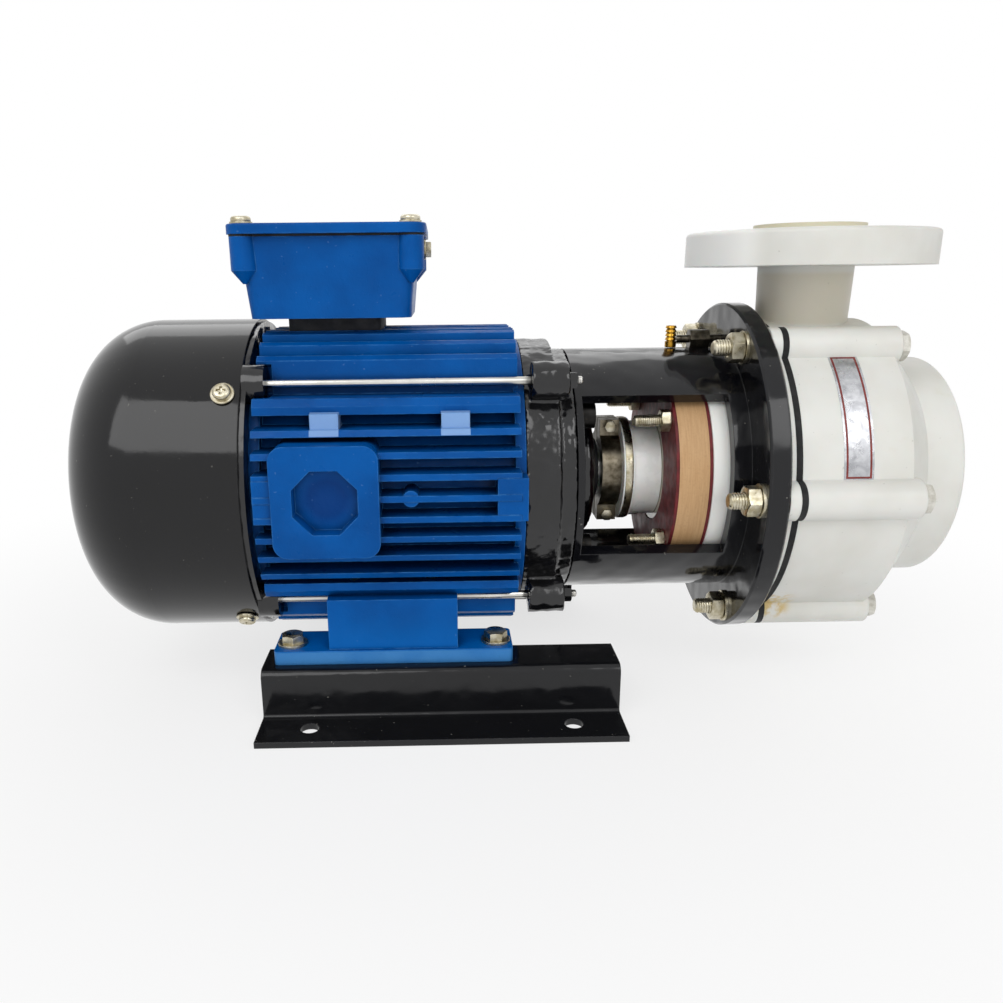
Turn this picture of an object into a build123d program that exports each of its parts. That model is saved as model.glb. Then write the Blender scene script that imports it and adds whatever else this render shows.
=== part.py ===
from build123d import *
import os

# Acid transfer pump: a foot-mounted motor, a lantern that carries the pump, and a plastic
# volute pump with a bellows seal outside it, all on two folded rails.
# Millimetres. The origin is the centre of the rails' four base holes, on the floor plane.
# +X runs along the shaft from the fan cowl to the suction, and +Z is up.

os.makedirs("parts", exist_ok=True)

# Clearances
press_gap = 0.05
slip_gap = 0.4
hole_gap = 0.4
air_gap = 0.4
shaft_gap = 1.0

# Rails
base_hole_spacing_x = 125.0
base_hole_spacing_y = 182.0
base_hole_radius = 4.5
rail_length = 173.0
rail_height = 27.0
rail_sheet = 3.0
rail_web_y = 79.4
rail_flange = 26.0
rail_lip = 24.0
rail_bend = 4.5

# Motor, frame size 80
centre_height = 80.0
foot_spacing_x = 100.0
foot_spacing_y = 125.0
rear_foot_x = -73.0
foot_end = 8.0
foot_width = 25.0
foot_edge_y = 72.5
foot_thick = 7.0
foot_corner = 2.5
pedestal_length = 62.5
pedestal_width = 16.0
pedestal_inset = 2.0
foot_bolt_radius = 3.0
foot_bolt_flats = 10.0
foot_head_height = 4.0
foot_nut_height = 5.0
foot_bolt_stub = 2.0
foot_washer_radius = 7.2
foot_washer_thick = 1.4
foot_screw_inset = 12.0
foot_screw_y = 59.0

frame_overhang = 14.3
frame_length = 128.2
frame_bore = 60.0
frame_wall = 4.5
fin_tip_radius = 79.5
fin_thick = 3.0
fin_end_inset = 3.0
side_fin_pitch = 9.7
side_fin_count = 8
side_fin_first = 33.0
shelf_top = 47.7
shelf_thick = 7.2
shelf_reach = 66.0
crown_fin_y = 46.5
crown_fin_pitch = 9.6
crown_fin_count = 5
crown_flat = 75.5
end_ring_radius = 69.0
end_ring_width = 5.0
fin_pad_width = 13.0
fin_pad_from_rear = 36.0
fin_pad_spacing = 59.5
fitting_from_rear = 36.2
fitting_z = 3.2
fitting_width = 49.0
fitting_height = 52.0
fitting_corner = 7.0
fitting_sink = 6.0
fitting_face_y = 82.5
octagon_flats = 29.5
octagon_depth = 9.0
side_pad_length = 14.0
side_pad_height = 20.0
side_pad_z = 2.8
pad_drop = 0.5
fin_pad_rise = 4.0
rib_boss_from_rear = 74.8
rib_boss_radius = 3.8

stator_length = 80.0
stator_bore = 37.0
winding_length = 16.0
winding_inner = 41.0
winding_outer = 56.0
winding_corner = 5.0

rod_radius = 2.0
rod_y = 51.4
rod_z = 53.2
rod_end_stub = 6.5
rod_nut_flats = 7.0
rod_nut_height = 4.0
lug_radius = 9.0

drive_shield_radius = 69.0
drive_shield_rim = 16.5
drive_shield_length = 25.0
drive_lug_length = 17.8
nose_radius = 34.5
nose_length = 13.6
nose_chamfer = 3.0
shield_wall = 7.0
spigot_length = 4.0
spigot_wall = 3.0

rear_shield_radius = 79.0
rear_shield_length = 16.0
rear_lug_length = 10.0

cowl_radius = 80.5
cowl_sheet = 1.5
cowl_overlap = 13.5
cowl_barrel = 50.0
cowl_shoulder = 38.0
grille_slots = 16
grille_turn = 180 / grille_slots
grille_slot_width = 4.0
grille_inner = 13.0
grille_outer = 40.0
cowl_screw_turn = 6.5
cowl_screw_inset = 6.0
cowl_screw_radius = 2.5
cowl_screw_head = 4.2
cowl_screw_head_height = 2.6
cowl_washer_radius = 5.5
cowl_washer_thick = 1.2
washer_lift = 0.1
cowl_screw_depth = 8.0

bearing_bore = 10.0
bearing_radius = 23.5
bearing_width = 14.0
bearing_pitch = 16.75
ball_radius = 3.97
ball_count = 8
ball_clearance = 0.25
inner_race_radius = 14.2
outer_race_radius = 19.4
bearing_shoulder = 3.0
front_bearing_inset = 2.0

rotor_length = 82.0
rotor_shaft_radius = 14.0
fan_seat_radius = 8.5
fan_seat_stub = 6.0
shaft_radius = 9.5
shaft_round = 0.8
key_length = 9.0
key_width = 6.0
key_height = 6.0
key_seat = 3.5

fan_radius = 66.0
fan_hub_radius = 15.0
fan_plate = 2.5
fan_depth = 22.0
fan_shield_gap = 12.0
fan_blades = 7
fan_blade_thick = 2.5
fan_clip_thick = 1.2
fan_clip_radius = 11.5

# Terminal box
box_from_rear = 37.5
neck_width = 45.5
neck_height = 6.5
wire_way = 11.4
box_bottom = 76.0
box_top = 83.0
box_height = 37.0
box_corner = 6.0
box_wall = 3.0
lid_width = 92.0
lid_thick = 4.6
lid_corner = 9.0
lid_joint = 1.0
lid_screw_spacing = 77.5
lid_screw_radius = 2.5
lid_screw_head = 5.2
lid_screw_head_height = 3.4
lid_screw_round = 2.0
lid_boss_radius = 6.0
lid_boss_height = 15.0
lid_boss_foot = 6.0
lid_boss_angle = 40.0
board_length = 48.0
board_width = 30.0
board_thick = 6.0
board_stud_radius = 2.0
board_stud_height = 12.0
board_nut_flats = 7.0
board_nut_height = 3.2
board_pitch = 16.0

# Lantern
lantern_length = 82.1
lantern_radius = 63.5
lantern_wall = 6.0
lantern_web = 3.3
window_end = 8.5
window_top_angle = 45.0
near_sill_angle = 30.0
far_sill_angle = 52.0
flange_rim = 9.6
flange_thick = 10.0
flange_chamfer = 1.0
lantern_screw_gap = 3.0
lantern_screw_radius = 4.0
lantern_screw_head = 6.5
lantern_screw_head_height = 8.0
lantern_screw_depth = 14.0

# Pump
casing_rim = 1.1
boss_radius = 9.5
bolt_tube_gap = 4.9
bolt_count = 6
bolt_radius = 4.0
bolt_flats = 13.0
bolt_head_height = 5.3
bolt_nut_height = 6.5
bolt_washer_radius = 8.0
bolt_washer_thick = 1.5
bolt_stub = 7.5
spot_radius = 9.0
back_plate_thick = 5.0
gasket_thick = 3.0
neck_gap = 3.0
neck_start = 66.8
neck_bore = 19.0

casing_depth = 51.0
boss_end = 54.0
shoulder_length = 18.0
collar_step = 20.5
collar_length = 19.0
collar_round = 2.5
casing_wall = 10.5
suction_radius = 25.0
suction_cone = 10.0
collar_hole_circle = 42.5
collar_hole_radius = 5.0
collar_hole_depth = 16.0
collar_hole_count = 4

discharge_offset = 23.4
discharge_neck_radius = 23.2
discharge_neck_foot = 22.0
discharge_bore = 16.0
discharge_flange_radius = 60.0
discharge_flange_bottom = 103.8
discharge_flange_thick = 16.5
discharge_flange_round = 2.0
raised_radius = 27.0
raised_height = 3.5
discharge_hole_circle = 44.5
discharge_hole_radius = 7.0
discharge_hole_count = 4

impeller_gap = 6.0
impeller_start = 3.0
shroud_thick = 3.5
vane_height = 20.0
vane_count = 5
vane_thick = 4.0
vane_sweep = 78.0
vane_bow = 47.0
impeller_hub = 16.0
impeller_eye = 23.5
impeller_nut_radius = 13.0
impeller_nut_length = 14.0
thread_radius = 7.0

# Seal
sleeve_radius = 14.0
gland_step = 1.0
gland_thick = 14.6
gland_bore = 28.5
gland_gasket_thick = 1.6
seat_length = 17.4
bellows_radius = 25.2
bellows_length = 19.5
bellows_band_radius = 27.0
bellows_band_length = 5.5
clamp_width = 10.0
clamp_radius = 20.5
clamp_ear_radius = 27.2
clamp_ear_width = 16.0
clamp_split = 1.6
clamp_screw_radius = 1.8
clamp_screw_head = 3.3
clamp_screw_head_height = 3.2
clamp_screw_offset = 24.0
stud_y = 34.2
stud_z = 30.8
stud_radius = 3.0
stud_stick_out = 18.0
stud_depth = 10.0
stud_nut_flats = 10.0
stud_nut_height = 5.0
slinger_radius = 16.0
slinger_length = 4.0

# Flush fitting
flush_rise = 4.5
flush_stem_radius = 2.0
flush_nut_flats = 9.0
flush_nut_height = 10.0
flush_nut_gap = 6.5
nipple_reach = 25.8
nipple_radius = 2.9
nipple_height = 11.0
nipple_bore = 1.6
nipple_drop = 4.2

# The chamber takes in the whole discharge bore
chamber_depth = discharge_offset + discharge_bore + air_gap

# Radii that follow the lantern tube
bolt_circle = lantern_radius + bolt_washer_radius + bolt_tube_gap
flange_radius = bolt_circle + flange_rim
casing_radius = bolt_circle + casing_rim
chamber_radius = casing_radius - casing_wall
impeller_radius = chamber_radius - impeller_gap
collar_radius = casing_radius - collar_step
neck_radius = lantern_radius - lantern_wall - neck_gap
gland_radius = neck_radius - gland_step
lantern_screw_circle = lantern_radius - lantern_wall - lantern_screw_gap - lantern_screw_head
flush_z = lantern_radius + flush_rise
nipple_foot_z = flush_z - nipple_drop

# Stations along the shaft
shaft_z = rail_height + centre_height
frame_rear_x = rear_foot_x - frame_overhang
frame_front_x = frame_rear_x + frame_length
frame_mid_x = (frame_rear_x + frame_front_x) / 2
feet_mid_x = rear_foot_x + foot_spacing_x / 2
foot_length = foot_spacing_x + 2 * foot_end
lantern_x = frame_front_x + drive_shield_length
nose_x = lantern_x + nose_length
flange_x = lantern_x + lantern_length
back_plate_x = flange_x + flange_thick
gasket_x = back_plate_x + back_plate_thick
casing_x = gasket_x + gasket_thick
collar_x = casing_x + casing_depth + shoulder_length
suction_x = collar_x + collar_length
rear_bearing_x = frame_rear_x - rear_shield_length + bearing_shoulder
front_bearing_x = frame_front_x - front_bearing_inset
neck_x = lantern_x + neck_start
gland_x = neck_x - gland_gasket_thick - gland_thick
seat_x = neck_x - seat_length
front_gasket_x = gland_x - gland_gasket_thick
bellows_x = seat_x - air_gap - bellows_length
clamp_x = bellows_x - clamp_width
slinger_x = nose_x + air_gap
cowl_rim_x = frame_rear_x - rear_shield_length + cowl_overlap
fan_x = frame_rear_x - rear_shield_length - fan_shield_gap - fan_depth

lengthwise = Plane(origin=(0, 0, shaft_z), x_dir=(1, 0, 0), z_dir=(0, -1, 0))
shaft_axis = Axis((0, 0, shaft_z), (1, 0, 0))


def across(x):
    """The plane square to the shaft at one station, local x to the far side and y up."""
    return Plane(origin=(x, 0, shaft_z), x_dir=(0, 1, 0), z_dir=(1, 0, 0))


def turned(*outline, mode=Mode.ADD):
    """Turns a closed outline of (station, radius) points about the shaft."""
    with BuildSketch(lengthwise) as section:
        with BuildLine():
            Polyline(*outline, close=True)
        make_face()
    revolve(section.sketch, axis=shaft_axis, mode=mode)


def ring(x, length, outer, inner, mode=Mode.ADD):
    """A plain turned ring from one station on."""
    turned((x, inner), (x + length, inner), (x + length, outer), (x, outer), mode=mode)


def disc(x, length, radius, mode=Mode.ADD):
    """A plain round bar from one station on."""
    with BuildSketch(across(x)) as face:
        Circle(radius)
    extrude(face.sketch, amount=length, mode=mode)


def at_rods(x, length, radius, mode=Mode.ADD):
    """Round bars on the four tie-rod axes."""
    with BuildSketch(across(x)) as face:
        with GridLocations(2 * rod_y, 2 * rod_z, 2, 2):
            Circle(radius)
    extrude(face.sketch, amount=length, mode=mode)


def at_casing_bolts(x, length, radius, mode=Mode.ADD):
    """Round bars on the six casing-bolt axes."""
    with BuildSketch(across(x)) as face:
        with PolarLocations(bolt_circle, bolt_count):
            Circle(radius)
    extrude(face.sketch, amount=length, mode=mode)


def at_gland_studs(x, length, radius, mode=Mode.ADD):
    """Round bars on the four gland-stud axes."""
    with BuildSketch(across(x)) as face:
        with GridLocations(2 * stud_y, 2 * stud_z, 2, 2):
            Circle(radius)
    extrude(face.sketch, amount=length, mode=mode)


def at_feet(z, length, radius, mode=Mode.ADD):
    """Upright round bars on the four foot-bolt axes."""
    with BuildSketch(Plane.XY.offset(z)) as face:
        with Locations((feet_mid_x, 0)):
            with GridLocations(foot_spacing_x, foot_spacing_y, 2, 2):
                Circle(radius)
    extrude(face.sketch, amount=length, mode=mode)


def race(x, inner, outer):
    """A ball-bearing ring with its groove."""
    with BuildSketch(lengthwise) as section:
        with Locations((x + bearing_width / 2, (inner + outer) / 2)):
            Rectangle(bearing_width, outer - inner)
        with Locations((x + bearing_width / 2, bearing_pitch)):
            Circle(ball_radius + ball_clearance, mode=Mode.SUBTRACT)
    revolve(section.sketch, axis=shaft_axis)


# Rails: folded Z sections under the feet, with the lip turned outward
rail_start = -rail_length / 2
flange_edge = rail_web_y - rail_flange
lip_edge = rail_web_y + rail_lip
web_inside = rail_web_y - rail_sheet
under_flange = rail_height - rail_sheet

with BuildPart() as near_rail:
    with BuildSketch(Plane.YZ.offset(rail_start)):
        with BuildLine():
            Polyline(
                (-flange_edge, rail_height),
                (-rail_web_y, rail_height),
                (-rail_web_y, rail_sheet),
                (-lip_edge, rail_sheet),
                (-lip_edge, 0),
                (-web_inside, 0),
                (-web_inside, under_flange),
                (-flange_edge, under_flange),
                close=True,
            )
        make_face()
    extrude(amount=rail_length)
    for y, z in ((-rail_web_y, rail_height), (-web_inside, 0)):
        bend = near_rail.edges().filter_by(Axis.X).sort_by_distance((0, y, z))[0]
        fillet(bend, rail_bend)
    for y, z in ((-rail_web_y, rail_sheet), (-web_inside, under_flange)):
        bend = near_rail.edges().filter_by(Axis.X).sort_by_distance((0, y, z))[0]
        fillet(bend, rail_bend - rail_sheet)
    with BuildSketch(Plane.XY):
        with GridLocations(base_hole_spacing_x, base_hole_spacing_y, 2, 2):
            Circle(base_hole_radius)
    extrude(amount=rail_sheet, mode=Mode.SUBTRACT)
    at_feet(under_flange, rail_sheet, foot_bolt_radius + hole_gap, Mode.SUBTRACT)
near_rail.part.label = "near_rail"
export_step(near_rail.part, "parts/near_rail.step")

with BuildPart() as far_rail:
    mirror(near_rail.part, about=Plane.XZ)
far_rail.part.label = "far_rail"
export_step(far_rail.part, "parts/far_rail.step")

# Feet: a bolted plate with a pedestal up to the shelf of the motor frame
shelf_under = shaft_z - shelf_top
foot_mid_y = foot_edge_y - foot_width / 2
pedestal_y = foot_edge_y - pedestal_inset - pedestal_width / 2
foot_screw_spacing = pedestal_length - 2 * foot_screw_inset
foot_screw_clear = foot_bolt_radius + hole_gap

with BuildPart() as near_foot:
    with BuildSketch(Plane.XY.offset(rail_height)):
        with Locations((feet_mid_x, -foot_mid_y)):
            RectangleRounded(foot_length, foot_width, foot_corner)
    extrude(amount=foot_thick)
    with BuildSketch(Plane.XY.offset(rail_height + foot_thick)):
        with Locations((feet_mid_x, -pedestal_y)):
            Rectangle(pedestal_length, pedestal_width)
    extrude(amount=shelf_under - rail_height - foot_thick)
    at_feet(rail_height, foot_thick, foot_screw_clear, Mode.SUBTRACT)
    with BuildSketch(Plane.XY.offset(rail_height)):
        with Locations((feet_mid_x, -foot_screw_y)):
            with GridLocations(foot_screw_spacing, 1, 2, 1):
                Circle(foot_screw_clear)
    extrude(amount=shelf_under - rail_height, mode=Mode.SUBTRACT)
    with BuildSketch(Plane.XY.offset(rail_height)):
        with Locations((feet_mid_x, -foot_screw_y)):
            with GridLocations(foot_screw_spacing, 1, 2, 1):
                Circle(foot_bolt_flats / 2 + 2 * hole_gap)
    extrude(amount=foot_thick, mode=Mode.SUBTRACT)
near_foot.part.label = "near_foot"
export_step(near_foot.part, "parts/near_foot.step")

with BuildPart() as far_foot:
    mirror(near_foot.part, about=Plane.XZ)
far_foot.part.label = "far_foot"
export_step(far_foot.part, "parts/far_foot.step")

with BuildPart() as foot_screws:
    with BuildSketch(Plane.XY.offset(rail_height + foot_thick - foot_head_height)):
        with Locations((feet_mid_x, 0)):
            with GridLocations(foot_screw_spacing, 2 * foot_screw_y, 2, 2):
                Circle(foot_bolt_flats / 2)
    extrude(amount=foot_head_height)
    with BuildSketch(Plane.XY.offset(rail_height + foot_thick)):
        with Locations((feet_mid_x, 0)):
            with GridLocations(foot_screw_spacing, 2 * foot_screw_y, 2, 2):
                Circle(foot_bolt_radius)
    extrude(amount=shelf_under + shelf_thick - rail_height - foot_thick)
foot_screws.part.label = "foot_screws"
export_step(foot_screws.part, "parts/foot_screws.step")

foot_top = rail_height + foot_thick
with BuildPart() as foot_washers:
    at_feet(foot_top, foot_washer_thick, foot_washer_radius)
    at_feet(foot_top, foot_washer_thick, foot_screw_clear, Mode.SUBTRACT)
foot_washers.part.label = "foot_washers"
export_step(foot_washers.part, "parts/foot_washers.step")

foot_bolt_reach = foot_nut_height + foot_bolt_stub
with BuildPart() as foot_bolts:
    with BuildSketch(Plane.XY.offset(foot_top + foot_washer_thick)):
        with Locations((feet_mid_x, 0)):
            with GridLocations(foot_spacing_x, foot_spacing_y, 2, 2):
                RegularPolygon(foot_bolt_flats / 2, 6, major_radius=False)
    extrude(amount=foot_head_height)
    bolt_bottom = under_flange - foot_bolt_reach
    at_feet(bolt_bottom, foot_top + foot_washer_thick - bolt_bottom, foot_bolt_radius)
foot_bolts.part.label = "foot_bolts"
export_step(foot_bolts.part, "parts/foot_bolts.step")

with BuildPart() as foot_nuts:
    with BuildSketch(Plane.XY.offset(under_flange - foot_nut_height)):
        with Locations((feet_mid_x, 0)):
            with GridLocations(foot_spacing_x, foot_spacing_y, 2, 2):
                RegularPolygon(foot_bolt_flats / 2, 6, major_radius=False)
                Circle(foot_bolt_radius + press_gap, mode=Mode.SUBTRACT)
    extrude(amount=foot_nut_height)
foot_nuts.part.label = "foot_nuts"
export_step(foot_nuts.part, "parts/foot_nuts.step")

# Motor frame: cooling fins lie level on the sides and stand upright above and below
frame_radius = frame_bore + frame_wall
fin_length = frame_length - 2 * fin_end_inset
fin_start = frame_rear_x + fin_end_inset
crown_span = range(crown_fin_count)
crown_rows = [crown_fin_y - crown_fin_pitch * i for i in crown_span]
side_rows = [side_fin_first - side_fin_pitch * i for i in range(side_fin_count)]
shelf_z = shelf_top - shelf_thick / 2
fitting_root = frame_radius - fitting_sink
fitting_x = frame_rear_x + fitting_from_rear
box_x = frame_rear_x + box_from_rear
pad_face_y = fin_tip_radius - pad_drop
octagon_turn = 22.5

with BuildPart() as motor_frame:
    with BuildSketch(across(fin_start)):
        for z in side_rows:
            with Locations((0, z)):
                Rectangle(2 * fin_tip_radius, fin_thick)
        with Locations((0, shelf_z), (0, -shelf_z)):
            Rectangle(2 * shelf_reach, shelf_thick)
        for y in crown_rows:
            with Locations((y, 0), (-y, 0)):
                Rectangle(fin_thick, 2 * crown_flat)
        Circle(fin_tip_radius, mode=Mode.INTERSECT)
        Circle(frame_radius)
    extrude(amount=fin_length)
    disc(frame_rear_x, end_ring_width, end_ring_radius)
    disc(frame_front_x - end_ring_width, end_ring_width, end_ring_radius)
    # Seat of the terminal box on the crown
    with BuildSketch(Plane.XY.offset(shaft_z + frame_bore)):
        with Locations((box_x, 0)):
            Rectangle(neck_width, neck_width)
    extrude(amount=crown_flat - frame_bore)
    # Fitting boss with its octagonal recess, and the pads beside it, on the near side
    with BuildSketch(Plane.XZ.offset(fitting_root)):
        with Locations((fitting_x, shaft_z + fitting_z)):
            RectangleRounded(fitting_width, fitting_height, fitting_corner)
    extrude(amount=fitting_face_y - fitting_root)
    pad_row = (side_rows[0] + shelf_top - shelf_thick) / 2
    pad_x = frame_rear_x + fin_pad_from_rear
    with BuildSketch(Plane.XZ.offset(fitting_root)):
        with Locations((pad_x, shaft_z + pad_row), (pad_x + fin_pad_spacing, shaft_z + pad_row)):
            Rectangle(fin_pad_width, side_fin_pitch)
    extrude(amount=shelf_reach + fin_pad_rise - fitting_root)
    with BuildSketch(Plane.XZ.offset(fitting_root)):
        with Locations(
            (frame_rear_x + fin_end_inset + side_pad_length / 2, shaft_z + side_pad_z),
            (frame_front_x - side_pad_length / 2, shaft_z + side_pad_z),
        ):
            Rectangle(side_pad_length, side_pad_height)
        with Locations((frame_rear_x + rib_boss_from_rear, shaft_z + side_rows[3])):
            Circle(rib_boss_radius)
    extrude(amount=pad_face_y - fitting_root)
    with BuildSketch(Plane.XZ.offset(fitting_face_y)):
        with Locations((fitting_x, shaft_z + fitting_z)):
            RegularPolygon(octagon_flats / 2, 8, major_radius=False, rotation=octagon_turn)
    extrude(amount=-octagon_depth, mode=Mode.SUBTRACT)
    disc(frame_rear_x, frame_length, frame_bore, Mode.SUBTRACT)
    at_rods(frame_rear_x, rear_lug_length, lug_radius + slip_gap, Mode.SUBTRACT)
    with BuildSketch(Plane.XY.offset(shaft_z - shelf_top)):
        with Locations((feet_mid_x, 0)):
            with GridLocations(foot_screw_spacing, 2 * foot_screw_y, 2, 2):
                Circle(foot_bolt_radius + press_gap)
    extrude(amount=shelf_thick, mode=Mode.SUBTRACT)
    with BuildSketch(Plane.XY.offset(shaft_z)):
        with Locations((box_x, 0)):
            Circle(wire_way)
    extrude(amount=crown_flat, mode=Mode.SUBTRACT)
motor_frame.part.label = "motor_frame"
export_step(motor_frame.part, "parts/motor_frame.step")

# Stator and its end windings
stator_x = frame_mid_x - stator_length / 2
with BuildPart() as stator_core:
    ring(stator_x, stator_length, frame_bore - press_gap, stator_bore)
stator_core.part.label = "stator_core"
export_step(stator_core.part, "parts/stator_core.step")

with BuildPart() as stator_winding:
    for x in (stator_x - winding_length, stator_x + stator_length):
        ring(x, winding_length, winding_outer, winding_inner)
    ends = stator_winding.edges().filter_by(GeomType.CIRCLE)
    fillet(ends.group_by(Axis.X)[0] + ends.group_by(Axis.X)[-1], winding_corner)
stator_winding.part.label = "stator_winding"
export_step(stator_winding.part, "parts/stator_winding.step")

# End shields: each has a bearing seat, a spigot in the frame and four tie-rod lugs
spigot_radius = frame_bore - press_gap
bearing_seat = bearing_radius + press_gap / 2
shaft_way = bearing_bore + shaft_gap
drive_seat_end = front_bearing_x + bearing_width
drive_hub_start = front_bearing_x - bearing_shoulder

with BuildPart() as drive_endshield:
    disc(frame_front_x, drive_shield_rim, drive_shield_radius)
    disc(frame_front_x, drive_shield_length, lantern_radius)
    at_rods(frame_front_x + bearing_shoulder, drive_lug_length, lug_radius)
    disc(lantern_x, nose_length, nose_radius)
    ring(frame_front_x - spigot_length, spigot_length, spigot_radius, spigot_radius - spigot_wall)
    ring(drive_hub_start, frame_front_x - drive_hub_start, bearing_radius + shield_wall, shaft_way)
    disc(drive_hub_start, drive_seat_end - drive_hub_start, bearing_seat, Mode.SUBTRACT)
    disc(frame_front_x, drive_shield_length + nose_length, shaft_way, Mode.SUBTRACT)
    at_rods(frame_front_x, drive_shield_length, rod_radius + hole_gap, Mode.SUBTRACT)
    with BuildSketch(across(lantern_x - lantern_screw_depth)):
        with PolarLocations(lantern_screw_circle, 4, start_angle=45):
            Circle(lantern_screw_radius + press_gap)
    extrude(amount=lantern_screw_depth, mode=Mode.SUBTRACT)
    nose_edge = drive_endshield.edges().filter_by(GeomType.CIRCLE).group_by(Axis.X)[-1]
    chamfer(nose_edge.sort_by(SortBy.RADIUS)[-1], nose_chamfer)
drive_endshield.part.label = "drive_endshield"
export_step(drive_endshield.part, "parts/drive_endshield.step")

rear_shield_x = frame_rear_x - rear_shield_length
rear_seat_end = rear_bearing_x + bearing_width
with BuildPart() as rear_endshield:
    disc(rear_shield_x, rear_shield_length, rear_shield_radius)
    at_rods(cowl_rim_x + slip_gap, rear_lug_length, lug_radius)
    ring(frame_rear_x, spigot_length, spigot_radius, spigot_radius - spigot_wall)
    ring(frame_rear_x, rear_seat_end - frame_rear_x, bearing_radius + shield_wall, shaft_way)
    disc(rear_bearing_x, bearing_width, bearing_seat, Mode.SUBTRACT)
    disc(rear_shield_x, rear_shield_length, shaft_way, Mode.SUBTRACT)
    ring(frame_rear_x, rear_lug_length + slip_gap, end_ring_radius + slip_gap,
         frame_radius, Mode.SUBTRACT)
    at_rods(frame_rear_x - rear_shield_length, 2 * rear_lug_length + rear_shield_length,
            rod_radius + press_gap, Mode.SUBTRACT)
    for k in range(4):
        turn = cowl_screw_turn + 45 + 90 * k
        screw_plane = Plane(
            origin=(rear_shield_x + cowl_screw_inset, 0, shaft_z), x_dir=(1, 0, 0),
            z_dir=Vector(0, 1, 0).rotate(Axis.X, turn),
        )
        with BuildSketch(screw_plane.offset(rear_shield_radius - cowl_screw_depth)):
            Circle(cowl_screw_radius + press_gap)
        extrude(amount=2 * cowl_screw_depth, mode=Mode.SUBTRACT)
rear_endshield.part.label = "rear_endshield"
export_step(rear_endshield.part, "parts/rear_endshield.step")

# Tie rods with heads behind the rear shield and nuts on the drive shield
drive_lug_end = frame_front_x + bearing_shoulder + drive_lug_length
rod_end = drive_lug_end + rod_end_stub
with BuildPart() as tie_rods:
    at_rods(rear_shield_x, rod_end - rear_shield_x, rod_radius)
    with BuildSketch(across(rear_shield_x)):
        with GridLocations(2 * rod_y, 2 * rod_z, 2, 2):
            RegularPolygon(rod_nut_flats / 2, 6, major_radius=False)
    extrude(amount=-rod_nut_height)
tie_rods.part.label = "tie_rods"
export_step(tie_rods.part, "parts/tie_rods.step")

with BuildPart() as tie_rod_nuts:
    with BuildSketch(across(drive_lug_end)):
        with GridLocations(2 * rod_y, 2 * rod_z, 2, 2):
            RegularPolygon(rod_nut_flats / 2, 6, major_radius=False)
            Circle(rod_radius + press_gap, mode=Mode.SUBTRACT)
    extrude(amount=rod_nut_height)
tie_rod_nuts.part.label = "tie_rod_nuts"
export_step(tie_rod_nuts.part, "parts/tie_rod_nuts.step")

# Fan cowl: a drawn shell with a round shoulder and radial slots in its flat end
cowl_barrel_end = cowl_rim_x - cowl_barrel
cowl_end_x = cowl_barrel_end - cowl_shoulder
cowl_flat_radius = cowl_radius - cowl_shoulder

with BuildPart() as fan_cowl:
    for sheet, mode in ((0, Mode.ADD), (cowl_sheet, Mode.SUBTRACT)):
        with BuildSketch(lengthwise):
            with BuildLine():
                CenterArc(
                    (cowl_barrel_end, cowl_flat_radius), cowl_shoulder - sheet,
                    start_angle=90, arc_size=90,
                )
                Polyline(
                    (cowl_end_x + sheet, cowl_flat_radius),
                    (cowl_end_x + sheet, 0),
                    (cowl_rim_x, 0),
                    (cowl_rim_x, cowl_radius - sheet),
                    (cowl_barrel_end, cowl_radius - sheet),
                )
            make_face()
        revolve(axis=shaft_axis, mode=mode)
    with BuildSketch(across(cowl_end_x)):
        with PolarLocations((grille_inner + grille_outer) / 2, grille_slots, grille_turn):
            SlotOverall(grille_outer - grille_inner, grille_slot_width)
    extrude(amount=cowl_shoulder, mode=Mode.SUBTRACT)
    for k in range(4):
        turn = cowl_screw_turn + 45 + 90 * k
        screw_plane = Plane(
            origin=(rear_shield_x + cowl_screw_inset, 0, shaft_z), x_dir=(1, 0, 0),
            z_dir=Vector(0, 1, 0).rotate(Axis.X, turn),
        )
        with BuildSketch(screw_plane.offset(cowl_radius - cowl_screw_depth)):
            Circle(cowl_screw_radius + hole_gap)
        extrude(amount=2 * cowl_screw_depth, mode=Mode.SUBTRACT)
fan_cowl.part.label = "fan_cowl"
export_step(fan_cowl.part, "parts/fan_cowl.step")

with BuildPart() as cowl_screws:
    for k in range(4):
        turn = cowl_screw_turn + 45 + 90 * k
        screw_plane = Plane(
            origin=(rear_shield_x + cowl_screw_inset, 0, shaft_z), x_dir=(1, 0, 0),
            z_dir=Vector(0, 1, 0).rotate(Axis.X, turn),
        )
        washer_foot = cowl_radius + washer_lift
        with BuildSketch(screw_plane.offset(washer_foot)):
            Circle(cowl_washer_radius)
        extrude(amount=cowl_washer_thick)
        with BuildSketch(screw_plane.offset(washer_foot + cowl_washer_thick)):
            Circle(cowl_screw_head)
        extrude(amount=cowl_screw_head_height)
        with BuildSketch(screw_plane.offset(rear_shield_radius - cowl_screw_depth + hole_gap)):
            Circle(cowl_screw_radius)
        extrude(amount=washer_foot - rear_shield_radius + cowl_screw_depth - hole_gap)
cowl_screws.part.label = "cowl_screws"
export_step(cowl_screws.part, "parts/cowl_screws.step")

# Ball bearings, one node for each ring and one for each set of balls
with BuildPart() as front_bearing_outer:
    race(front_bearing_x, outer_race_radius, bearing_radius)
front_bearing_outer.part.label = "front_bearing_outer"
export_step(front_bearing_outer.part, "parts/front_bearing_outer.step")

with BuildPart() as front_bearing_inner:
    race(front_bearing_x, bearing_bore, inner_race_radius)
front_bearing_inner.part.label = "front_bearing_inner"
export_step(front_bearing_inner.part, "parts/front_bearing_inner.step")

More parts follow.
